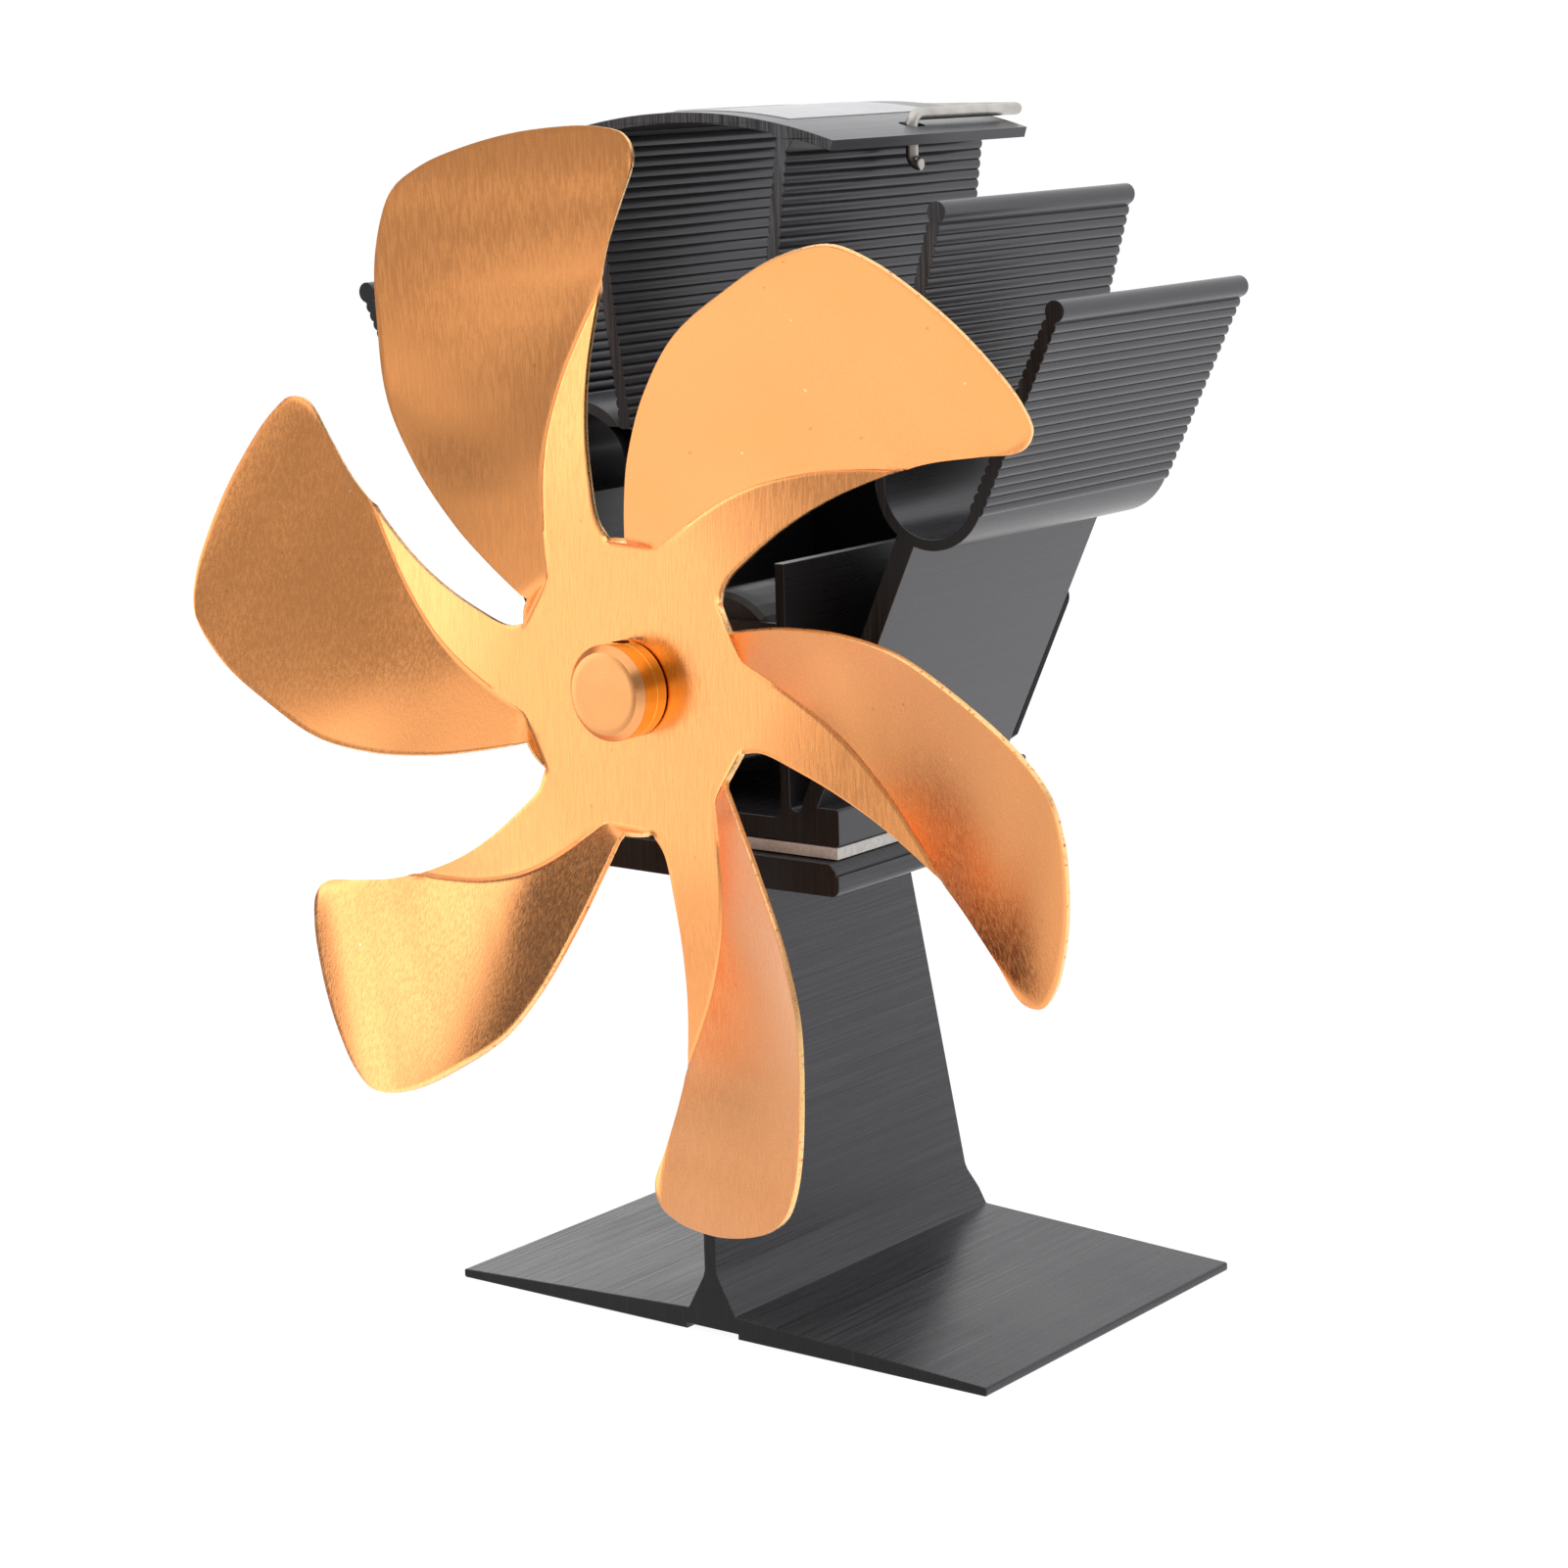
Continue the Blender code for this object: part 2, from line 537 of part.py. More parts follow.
def make_cover(black, steel):
    """The back cover and its countersunk screws, whose heads lie flush."""
    front = SINK_BACK + GAP
    thickness = 1.5 * MM
    back = front + thickness
    cover = extrusion("back_cover", [cover_outline()], front, back, black)
    head, shank, rim, end = 0.95 * MM, COVER_SCREW_RADIUS, -0.1 * MM, -7.5 * MM
    cone_end = rim - (head - shank)
    sink = turned_mesh([(0, 1 * MM), (head + GAP, 1 * MM), (head + GAP, rim),
                        (shank + GAP, cone_end), (shank + GAP, -4 * MM), (0, -4 * MM)], 16)
    screw = turned_mesh([(0, rim), (head, rim), (shank, cone_end), (shank, end), (0, end)], 12)
    places = [Matrix.Translation((x, back, z)) @ FACING_FRONT.inverted() for x, z in cover_screw_points()]
    cut(cover, [cutter(sink, place) for place in places])
    copies("cover_screw", screw, places, steel)


def make_motor(dark, nylon, brass, red):
    """The motor's still pieces: can, magnets, bushes, end cap, terminals, bracket, screws and leads."""
    inner = MOTOR_RADIUS - MOTOR_WALL
    bore = 3.0 * MM
    can = [(MOTOR_RADIUS - 0.8 * MM, 0), (MOTOR_RADIUS, -0.8 * MM), (MOTOR_RADIUS, -MOTOR_LENGTH),
           (inner, -MOTOR_LENGTH), (inner, -MOTOR_WALL), (bore, -MOTOR_WALL), (bore, 0)]
    case = turned("motor_can", can, MOTOR_FRONT, dark)
    face_holes = [(side * 8.0 * MM, AXIS_Z) for side in (-1, 1)]
    behind_face = MOTOR_FRONT + 3 * MM
    cut(case, [drill(1.0 * MM, (x, MOTOR_FRONT - 2 * MM, z), (x, behind_face, z), 10) for x, z in face_holes])
    bush = [(5.0 * MM, 2.2 * MM), (5.0 * MM, GAP), (2.7 * MM, GAP), (2.7 * MM, -2.2 * MM),
            (1.45 * MM, -2.2 * MM), (1.45 * MM, 2.2 * MM)]
    turned("motor_front_bush", bush, MOTOR_FRONT, brass, 24)

    outer, hollow = inner - GAP, inner - 2.4 * MM
    shell = arc((0, 0), outer, -60, 60, 8) + arc((0, 0), hollow, 60, -60, 8)
    length = 15.0 * MM
    centre = Matrix.Translation((0, MOTOR_FRONT + 10.5 * MM, AXIS_Z)) @ FACING_FRONT
    magnet = plate_mesh([shell], length)
    copies("motor_magnet", magnet, [centre, centre @ Matrix.Rotation(math.pi, 4, "Z")], nylon)

    back = MOTOR_FRONT + MOTOR_LENGTH
    cap = [(MOTOR_RADIUS, -GAP), (MOTOR_RADIUS, -2.8 * MM), (5.2 * MM, -2.8 * MM), (5.2 * MM, -4.2 * MM),
           (3.0 * MM, -4.2 * MM), (3.0 * MM, 2.0 * MM), (inner - GAP, 2.0 * MM), (inner - GAP, -GAP)]
    end_cap = turned("motor_end_cap", cap, back, nylon)
    tab_x = 7.6 * MM
    slots = []
    tabs = []
    for side in (-1, 1):
        x = side * tab_x
        tabs.append(Matrix.Translation((x, back + 3.4 * MM, AXIS_Z)) @ FACING_FRONT)
        slots.append(cutter(plate_mesh([rectangle(-1.5 * MM, -0.8 * MM, 1.5 * MM, 0.8 * MM)], 10 * MM),
                            Matrix.Translation((x, back, AXIS_Z)) @ FACING_FRONT))
    cut(end_cap, slots)
    tab = plate_mesh([rectangle(-1.1 * MM, -0.4 * MM, 1.1 * MM, 0.4 * MM)], 7 * MM)
    copies("motor_terminal", tab, tabs, brass)
    rear = tube_profile(2.7 * MM, 1.45 * MM, -0.5 * MM, -4.0 * MM)
    turned("motor_rear_bush", rear, back, brass, 24)

    plate_front = MOTOR_FRONT - GAP - 1.2 * MM
    flange_front = SINK_FRONT + 0.5 * MM
    half_height = 8.0 * MM
    edge = WEB_INNER_X - GAP
    bend = 1.2 * MM
    plate_back = MOTOR_FRONT - GAP
    section = [(-edge, flange_front), (-edge, plate_back), (edge, plate_back), (edge, flange_front),
               (edge - bend, flange_front), (edge - bend, plate_front), (-edge + bend, plate_front),
               (-edge + bend, flange_front)]
    strap = plate_mesh([section], 2 * half_height)
    bracket = add_mesh("motor_bracket", strap, dark, Matrix.Translation((0, 0, AXIS_Z)))
    beyond = MOTOR_FRONT + 2 * MM
    tools = [drill(5.4 * MM, (0, flange_front, AXIS_Z), (0, beyond, AXIS_Z), 24)]
    tools += [drill(1.3 * MM, (x, flange_front, z), (x, beyond, z), 12) for x, z in face_holes]
    for side in (-1, 1):
        tools += [drill(1.3 * MM, (side * (edge - 3 * MM), y, z), (side * (edge + 2 * MM), y, z), 12)
                  for y, z in bracket_screw_points()]
    cut(bracket, tools)
    face_screw = screw_mesh(1.9 * MM, 1.2 * MM, 0.7 * MM, 3.6 * MM)
    places = [Matrix.Translation((x, plate_front - GAP, z)) @ FACING_FRONT for x, z in face_holes]
    copies("motor_face_screw", face_screw, places, brass)
    side_screw = screw_mesh(1.9 * MM, 1.2 * MM, 0.8 * MM, 4.4 * MM)
    places = []
    for side in (-1, 1):
        turn = Matrix.Rotation(-side * math.pi / 2, 4, "Y")
        x = side * (edge - bend - GAP)
        places += [Matrix.Translation((x, y, z)) @ turn for y, z in bracket_screw_points()]
    copies("bracket_screw", side_screw, places, brass)
    for name, side, material in (("black_lead", -1, nylon), ("red_lead", 1, red)):
        make_lead(name, side, tab_x, back, material)


def smooth_path(points, steps):
    """A rounded curve through the given points."""
    ends = [points[0] * 2 - points[1]] + points + [points[-1] * 2 - points[-2]]
    path = []
    for a, b, c, d in zip(ends, ends[1:], ends[2:], ends[3:]):
        for i in range(steps):
            t = i / steps
            path.append(0.5 * (2 * b + (c - a) * t + (2 * a - 5 * b + 4 * c - d) * t * t
                               + (3 * b - a - 3 * c + d) * t ** 3))
    return path + [points[-1]]


def wire_mesh(path, radius, resolution=2):
    """A round wire along a path, with flat ends."""
    curve = bpy.data.curves.new("wire", "CURVE")
    curve.dimensions = "3D"
    curve.bevel_depth = radius
    curve.bevel_resolution = resolution
    curve.use_fill_caps = True
    spline = curve.splines.new("POLY")
    spline.points.add(len(path) - 1)
    for point, place in zip(spline.points, path):
        point.co = (*place, 1)
    holder = bpy.data.objects.new("wire", curve)
    PARTS.objects.link(holder)
    return welded_mesh(holder)


def make_lead(name, side, tab_x, back, material):
    """A lead from the module's solder pad up through the floor slot to the motor's terminal."""
    pad = (PAD_Z + GAP + MODULE_PLATE + GAP) / MM
    hole_y, end_x = LEAD_HOLE_Y / MM, tab_x / MM
    end_y, end_z = (back + 6.9 * MM + GAP) / MM, AXIS_Z / MM
    route = [(2.6, hole_y, pad), (2.6, hole_y, 88.0), (3.4, hole_y + 0.6, 95.0), (5.6, hole_y + 1.2, 103.0),
             (end_x, end_y + 4.0, 109.4), (end_x, end_y + 1.6, end_z - 0.2), (end_x, end_y, end_z)]
    path = smooth_path([Vector((side * x, y, z)) * MM for x, y, z in route], 4)
    add_mesh(name, wire_mesh(path, 0.65 * MM), material)


FOLD_PATH = smooth_path([Vector((u, w, 0)) * MM for u, w in FOLD_LINE], 8)


def blend(value, start, end):
    """Rises smoothly from 0 at start to 1 at end."""
    t = min(max((value - start) / (end - start), 0), 1)
    return t * t * (3 - 2 * t)


def crease_w(u):
    """Distance of the pressed fold from the blade's radial line, at a distance u along it."""
    u = min(max(u, FOLD_PATH[0].x), FOLD_PATH[-1].x)
    k = next(j for j in range(1, len(FOLD_PATH)) if FOLD_PATH[j].x >= u)
    low, high = FOLD_PATH[k - 1], FOLD_PATH[k]
    return low.y + (high.y - low.y) * (u - low.x) / (high.x - low.x)


def blade_rise(u, w):
    """How far the sheet stands in front of the disc: an arm falling back, a fold, then a pitched panel."""
    across = max(w - crease_w(u), 0)
    pitch = PITCH_ROOT + (PITCH_TIP - PITCH_ROOT) * blend(u, PITCH_START_U, PITCH_END_U)
    lift = pitch * across * blend(math.hypot(u, w), NOTCH_RADIUS - 3 * MM, NOTCH_RADIUS + 1 * MM)
    return lift - FALL * blend(u, NOTCH_RADIUS, FALL_END_U)


def even_points(path, steps):
    """Evenly spaced points along a path."""
    lengths = [0]
    for a, b in zip(path, path[1:]):
        lengths.append(lengths[-1] + (b - a).length)
    even = []
    for i in range(steps + 1):
        target = lengths[-1] * i / steps
        k = next(j for j in range(1, len(path)) if lengths[j] >= target - 1e-9)
        part = (target - lengths[k - 1]) / (lengths[k] - lengths[k - 1])
        even.append(path[k - 1].lerp(path[k], part))
    return even


ARM_COLUMNS = 3
PANEL_COLUMNS = 6
BLADE_ROWS = 12
TIP_STEPS = 40


class BladePatch:
    """One blade's plan: a patch between its root arc, its two long edges and its tip."""

    def __init__(self):
        between = 8
        outline = smooth_path([Vector((u, w, 0)) * MM for u, w in BLADE_OUTLINE], between)
        first, last = TIP_START * between, TIP_END * between
        self.concave = even_points(outline[:first + 1], BLADE_ROWS)
        self.tip = even_points(outline[first:last + 1], TIP_STEPS)
        self.convex = even_points(outline[:last - 1:-1], BLADE_ROWS)
        self.start, self.end = (math.atan2(edge[0].y, edge[0].x) for edge in (self.concave, self.convex))

    def point(self, row, share):
        """The point in a row of the blade, at a share of its width counted from the concave edge."""
        out = row / BLADE_ROWS
        angle = self.start + (self.end - self.start) * share
        root = Vector((math.cos(angle), math.sin(angle), 0)) * NOTCH_RADIUS
        step = min(int(share * TIP_STEPS), TIP_STEPS - 1)
        top = self.tip[step].lerp(self.tip[step + 1], share * TIP_STEPS - step)
        ruled = self.concave[row].lerp(self.convex[row], share)
        first = self.concave[0].lerp(self.convex[0], share)
        last = self.concave[-1].lerp(self.convex[-1], share)
        corners = first.lerp(last, out)
        return ruled + root.lerp(top, out) - corners

    def fold_share(self, row):
        """Where the pressed fold crosses a row, found by halving; never quite at the edge."""
        low, high = 0, 1
        for _ in range(20):
            middle = (low + high) / 2
            point = self.point(row, middle)
            if point.y < crease_w(point.x):
                low = middle
            else:
                high = middle
        return min(max(low, 0.14), 0.86)

    def rows(self):
        """Every row's points, with one column along the fold."""
        grid = []
        for row in range(BLADE_ROWS + 1):
            fold = self.fold_share(row)
            shares = [fold * k / ARM_COLUMNS for k in range(ARM_COLUMNS)]
            shares += [fold + (1 - fold) * k / PANEL_COLUMNS for k in range(PANEL_COLUMNS + 1)]
            grid.append([self.point(row, share) for share in shares])
        return grid


def make_fan(gold, pivot):
    """The pressed sheet: a round disc and six blades in one piece, given its thickness by Solidify."""
    work = bmesh.new()
    rows = BladePatch().rows()
    rings = [DISC_HOLE, 12 * MM, NOTCH_RADIUS - 3 * MM]
    sector = 360 / BLADES
    bridge = 2
    root_angles = [math.degrees(math.atan2(p.y, p.x)) for p in rows[0]]
    gap_start = root_angles[-1]
    gap_size = root_angles[0] + sector - gap_start
    angles = root_angles + [gap_start + gap_size * i / bridge for i in range(1, bridge)]

    def vertex(x, z):
        radius, angle = math.hypot(x, z), math.degrees(math.atan2(z, x))
        local = math.radians((angle - NOTCH_ANGLE) % sector)
        rise = blade_rise(radius * math.cos(local), radius * math.sin(local)) if radius < NOTCH_RADIUS else 0
        return work.verts.new((x, -rise, z))

    circles = []
    for radius in rings + [NOTCH_RADIUS]:
        circle = []
        for k in range(BLADES):
            for angle in angles:
                a = math.radians(angle + NOTCH_ANGLE + sector * k)
                circle.append(vertex(radius * math.cos(a), radius * math.sin(a)))
        circles.append(circle)
    count = len(angles)
    for k in range(BLADES):
        turn = math.radians(NOTCH_ANGLE + sector * k)
        for j, point in enumerate(rows[0]):
            circles[-1][k * count + j].co.y = -blade_rise(point.x, point.y)
        before = circles[-1][k * count:k * count + len(rows[0])]
        for row in rows[1:]:
            line = []
            for point in row:
                x = point.x * math.cos(turn) - point.y * math.sin(turn)
                z = point.x * math.sin(turn) + point.y * math.cos(turn)
                line.append(work.verts.new((x, -blade_rise(point.x, point.y), z)))
            for j in range(len(row) - 1):
                work.faces.new((before[j], line[j], line[j + 1], before[j + 1]))
            before = line
    total = count * BLADES
    for low, high in zip(circles, circles[1:]):
        for j in range(total):
            work.faces.new((low[j], high[j], high[(j + 1) % total], low[(j + 1) % total]))
    mesh = bpy.data.meshes.new("fan_blades")
    work.to_mesh(mesh)
    work.free()
    fan = add_mesh("fan_blades", mesh, gold, Matrix.Translation((0, DISC_Y, AXIS_Z)), pivot)
    sheet = fan.modifiers.new("Sheet", "SOLIDIFY")
    sheet.thickness = SHEET
    sheet.offset = 0
    sheet.use_even_offset = True
    return fan


def make_rotor(gold, steel, brass, dark):
    """Everything that turns, on one pivot: fan, hub, collar, grub screw, shaft, armature, commutator."""
    pivot = bpy.data.objects.new("fan_axis", None)
    PARTS.objects.link(pivot)
    pivot.location = (0, DISC_Y, AXIS_Z)
    make_fan(gold, pivot)

    disc_front = DISC_Y - SHEET / 2 - GAP
    length = disc_front - HUB_FRONT
    spigot_end = DISC_Y + SHEET / 2 + 2.4 * MM
    bore, bore_depth = 1.45 * MM, 2.0 * MM
    hub = [(0, 0), (HUB_RADIUS - HUB_CHAMFER, 0), (HUB_RADIUS, -HUB_CHAMFER), (HUB_RADIUS, -length),
           (SPIGOT_RADIUS, -length), (SPIGOT_RADIUS, HUB_FRONT - spigot_end), (bore, HUB_FRONT - spigot_end),
           (bore, -bore_depth), (0, -bore_depth)]
    barrel = turned("hub", hub, HUB_FRONT, gold, 32, pivot)
    grub_y = HUB_FRONT + 4.6 * MM
    grub_radius = 1.2 * MM
    above = AXIS_Z + HUB_RADIUS + 2 * MM
    cut(barrel, [drill(grub_radius + GAP, (0, grub_y, AXIS_Z), (0, grub_y, above), 12)])
    low, high = SHAFT_RADIUS + GAP, HUB_RADIUS - 1.0 * MM
    grub = turned_mesh([(0, high), (grub_radius, high), (grub_radius, low), (0, low)], 12)
    add_mesh("grub_screw", grub, dark, Matrix.Translation((0, grub_y, AXIS_Z)), pivot)
    collar_front = DISC_Y + SHEET / 2 + GAP
    ring = tube_profile(7.0 * MM, SPIGOT_RADIUS + GAP, 0, -2.2 * MM)
    turned("hub_collar", ring, collar_front, gold, 24, pivot)

    shaft_front = HUB_FRONT + bore_depth + GAP
    shaft_back = MOTOR_FRONT + MOTOR_LENGTH + 4.6 * MM
    rear = shaft_front - shaft_back
    shaft = [(0, 0), (SHAFT_RADIUS, 0), (SHAFT_RADIUS, rear), (0, rear)]
    turned("motor_shaft", shaft, shaft_front, steel, 16, pivot)
    core = []
    for k in range(3):
        core += arc((0, 0), 7.9 * MM, 120 * k - 45, 120 * k + 45, 6)
        core += arc((0, 0), 3.4 * MM, 120 * k + 52, 120 * k + 68, 1)
    middle = Matrix.Translation((0, MOTOR_FRONT + 10.5 * MM, AXIS_Z)) @ FACING_FRONT
    bore_loop = arc((0, 0), SHAFT_RADIUS + GAP, 0, 330, 11)
    add_mesh("motor_armature", plate_mesh([core, bore_loop], 13 * MM), brass, middle, pivot)
    commutator = tube_profile(3.0 * MM, SHAFT_RADIUS + GAP, 0, -3.5 * MM)
    turned("motor_commutator", commutator, MOTOR_FRONT + 18.0 * MM, brass, 16, pivot)


def rounded_corner(before, corner, after, radius, steps):
    """An arc that rounds one corner of a wire."""
    a, b = (before - corner).normalized(), (after - corner).normalized()
    start, end = corner + a * radius, corner + b * radius
    centre = start + b * radius
    return [centre + (start - centre) * math.cos(math.pi / 2 * i / steps)
            + (end - centre) * math.sin(math.pi / 2 * i / steps) for i in range(steps + 1)]


def make_handle(steel):
    """The wire bail: hooks turned outwards, legs up through the plate's slots, arms and a back bar."""
    plate_top = TOP_Z - TOP_RADIUS + math.sqrt(TOP_RADIUS ** 2 - SLOT_X ** 2)
    under = TOP_RADIUS - TOP_THICKNESS
    plate_under = TOP_Z - TOP_RADIUS + math.sqrt(under ** 2 - SLOT_X ** 2)
    rest_z = plate_top + (WIRE + GAP) / math.sqrt(1 - (SLOT_X / TOP_RADIUS) ** 2)
    pivot_y, pivot_z = HANDLE_LEG_Y + HANDLE_PIVOT_BACK, (plate_top + plate_under) / 2
    hook_z = plate_under - 4.5 * MM
    bar_x = SLOT_X + HANDLE_SPLAY
    corners = [Vector((SLOT_X + HOOK_LENGTH, HANDLE_LEG_Y, hook_z)), Vector((SLOT_X, HANDLE_LEG_Y, hook_z)),
               Vector((SLOT_X, HANDLE_LEG_Y, rest_z + 0.1 * MM)), Vector((bar_x, HANDLE_BAR_Y, rest_z)),
               Vector((0, HANDLE_BAR_Y, rest_z))]
    half = [corners[0]]
    for i, radius in ((1, 1.5 * MM), (2, HANDLE_BEND), (3, HANDLE_BEND)):
        half += rounded_corner(corners[i - 1], corners[i], corners[i + 1], radius, 5)
    path = half + [Vector((-p.x, p.y, p.z)) for p in reversed(half)]
    pivot = bpy.data.objects.new("handle_axis", None)
    PARTS.objects.link(pivot)
    pivot.location = (0, pivot_y, pivot_z)
    add_mesh("bail_handle", wire_mesh(path, WIRE, 3), steel, parent=pivot)


def make_all():
    """The materials, then every piece from the stand upwards."""
    black = finish("black_anodised", BLACK, 0.35, 0.6)
    gold = finish("gold_anodised", GOLD, 0.3, 1.0)
    steel = finish("steel", STEEL, 0.35, 1.0)
    brass = finish("brass", (0.55, 0.40, 0.16), 0.35, 1.0)
    grey = finish("gasket_grey", (0.62, 0.60, 0.57), 0.8, 0.0)
    ceramic = finish("ceramic_white", (0.85, 0.85, 0.82), 0.5, 0.0)
    nylon = finish("nylon_black", (0.05, 0.05, 0.05), 0.5, 0.0)
    red = finish("red_insulation", (0.50, 0.02, 0.02), 0.45, 0.0)
    dark = finish("blackened_steel", (0.02, 0.02, 0.02), 0.4, 0.8)
    make_stand(black)
    make_heat_sink(black)
    make_clamp(grey, ceramic, steel, nylon)
    make_cover(black, dark)
    make_motor(dark, nylon, brass, red)
    make_rotor(gold, steel, brass, dark)
    make_handle(steel)


make_all()
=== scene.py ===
"""Stove fan: camera, studio, finishes, and the fine pieces that stand for the plain solids.

Metres, +Z up, the fan faces -Y, the origin is on the surface that the stand rests on.
"""

import bmesh
import bpy
import numpy as np
from mathutils import Matrix, Vector
from mathutils.geometry import tessellate_polygon


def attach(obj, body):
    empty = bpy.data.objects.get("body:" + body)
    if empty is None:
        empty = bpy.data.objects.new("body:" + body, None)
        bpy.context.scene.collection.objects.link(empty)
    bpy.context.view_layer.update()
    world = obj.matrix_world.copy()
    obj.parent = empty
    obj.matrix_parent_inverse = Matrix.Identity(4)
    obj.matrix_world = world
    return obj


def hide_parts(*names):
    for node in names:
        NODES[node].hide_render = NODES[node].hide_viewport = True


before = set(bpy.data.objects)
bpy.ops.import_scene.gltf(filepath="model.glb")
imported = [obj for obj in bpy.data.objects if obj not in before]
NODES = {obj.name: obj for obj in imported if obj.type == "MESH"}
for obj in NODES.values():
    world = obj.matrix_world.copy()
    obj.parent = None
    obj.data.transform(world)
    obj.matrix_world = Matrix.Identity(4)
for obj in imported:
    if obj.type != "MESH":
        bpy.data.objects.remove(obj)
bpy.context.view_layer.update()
MM = 0.001
AXIS_Z = 111.3 * MM

# Camera and studio

# The camera is fitted to points of the photograph: degrees round, up and over, then its place and lens.
CAMERA_TURNS = (37.400, 11.242, -1.587)
CAMERA_PLACE = (0.381497, -0.498712, 0.213877)
CAMERA_LENS, CAMERA_SENSOR = 88.34, 36.0

# How bright the room is in reflections.
BEHIND, BELOW, BELOW_LEFT = 1.27, 1.34, 0.78
IN_FRONT, FAR_LEFT, MORE_RIGHT, MORE_ABOVE, DARKEST = 0.47, 0.16, 0.45, 1.00, 0.12
BOX_LOW, BOX_HIGH, BOX_MORE_LEFT, BOX_BRIGHTEST = 1.66, 2.10, 1.0, 2.6

ROOM_LIGHT = 0.52
FLOOR_SIDE, FLOOR_GLOW, FLOOR_GLOW_SHARE = 9.0, 1.09, 0.86
LAMP_AIM = (0, 0, 0.1)
LAMPS = [("overhead_box", (0.1, -0.1, 1.25), 0.9, 8.5), ("left_box", (-0.95, -0.55, 0.75), 0.6, 4.0),
         ("right_back_box", (0.95, 0.75, 0.55), 0.6, 3.0)]


def new_object(name, data):
    """An object in the scene with this mesh, camera or lamp."""
    made = bpy.data.objects.new(name, data)
    bpy.context.scene.collection.objects.link(made)
    return made


def photo_camera():
    """The camera at the photograph's place, 37 degrees round to the right and 11 degrees up: its back
    axis points from the fan to it, right is level but for the roll, and up is back cross right."""
    azimuth, elevation, roll = np.radians(CAMERA_TURNS)
    flat = np.cos(elevation)
    back = np.array([np.sin(azimuth) * flat, -np.cos(azimuth) * flat, np.sin(elevation)])
    level = np.array([np.cos(azimuth), np.sin(azimuth), 0])
    right = level * np.cos(roll) + np.cross(back, level) * np.sin(roll)
    up = np.cross(back, right)
    lens = bpy.data.cameras.new("photo_camera")
    lens.lens, lens.sensor_width = CAMERA_LENS, CAMERA_SENSOR
    lens.clip_start, lens.clip_end = 0.01, 20
    camera = new_object("photo_camera", lens)
    turn = Matrix([[right[i], up[i], back[i], 0] for i in range(3)] + [[0, 0, 0, 1]])
    camera.matrix_world = Matrix.Translation(CAMERA_PLACE) @ turn
    bpy.context.scene.camera = camera


def soft_lamp(name, place, size, power):
    """A square softbox at a place, turned towards the fan's foot and left out of reflections."""
    light = bpy.data.lights.new(name, "AREA")
    light.shape, light.size, light.energy = "SQUARE", size, power
    lamp = new_object(name, light)
    turn = (Vector(LAMP_AIM) - Vector(place)).to_track_quat("-Z", "Y")
    lamp.matrix_world = Matrix.Translation(place) @ turn.to_matrix().to_4x4()
    lamp.visible_glossy = False


def room_in_reflections(net, way):
    """How bright the room is in a reflection, by direction: white behind, light below, dim in front and
    paler to the right and above, nearly dark far to the left, with a tall softbox 50 degrees to the left.
    Each part is a smooth step of the direction's X, Z or turn to the left, and steps are multiplied, added
    or used as the share of a mix."""
    x, y, z = way["X"], way["Y"], way["Z"]
    left = net.math("MULTIPLY", x, -1.0)
    turn = net.math("ARCTAN2", left, net.math("MULTIPLY", y, -1.0))
    below = net.steps(left, 0.45, 0.85, BELOW, BELOW_LEFT)
    paler = net.steps(x, 0.10, 0.32, 0.0, MORE_RIGHT)
    paler = net.math("MULTIPLY", paler, net.steps(z, 0.0, 0.10, 1.0, -0.3))
    dim = net.math("ADD", net.steps(left, 0.84, 0.93, IN_FRONT, FAR_LEFT), paler)
    dim = net.math("ADD", dim, net.steps(z, 0.50, 0.66, 0.0, MORE_ABOVE))
    level = net.math("SUBTRACT", z, net.steps(left, 0.6, 0.9, -0.07, 0.22))
    front = net.mix_value(net.steps(level, -0.42, -0.16), below, net.math("MAXIMUM", dim, DARKEST))
    across = net.math("MULTIPLY", net.steps(turn, 0.54, 0.63), net.steps(turn, 1.03, 1.16, 1.0, 0.0))
    upright = net.math("MULTIPLY", net.steps(z, -0.37, -0.21), net.steps(z, 0.31, 0.47, 1.0, 0.0))
    glow = net.math("ADD", net.steps(turn, 0.72, 0.98, 0.0, BOX_MORE_LEFT),
                    net.steps(z, -0.16, 0.06, BOX_LOW, BOX_HIGH))
    box = net.math("MULTIPLY", across, upright)
    front = net.mix_value(box, front, net.math("MINIMUM", glow, BOX_BRIGHTEST))
    return net.mix_value(net.steps(y, 0.0, 0.6), front, BEHIND)


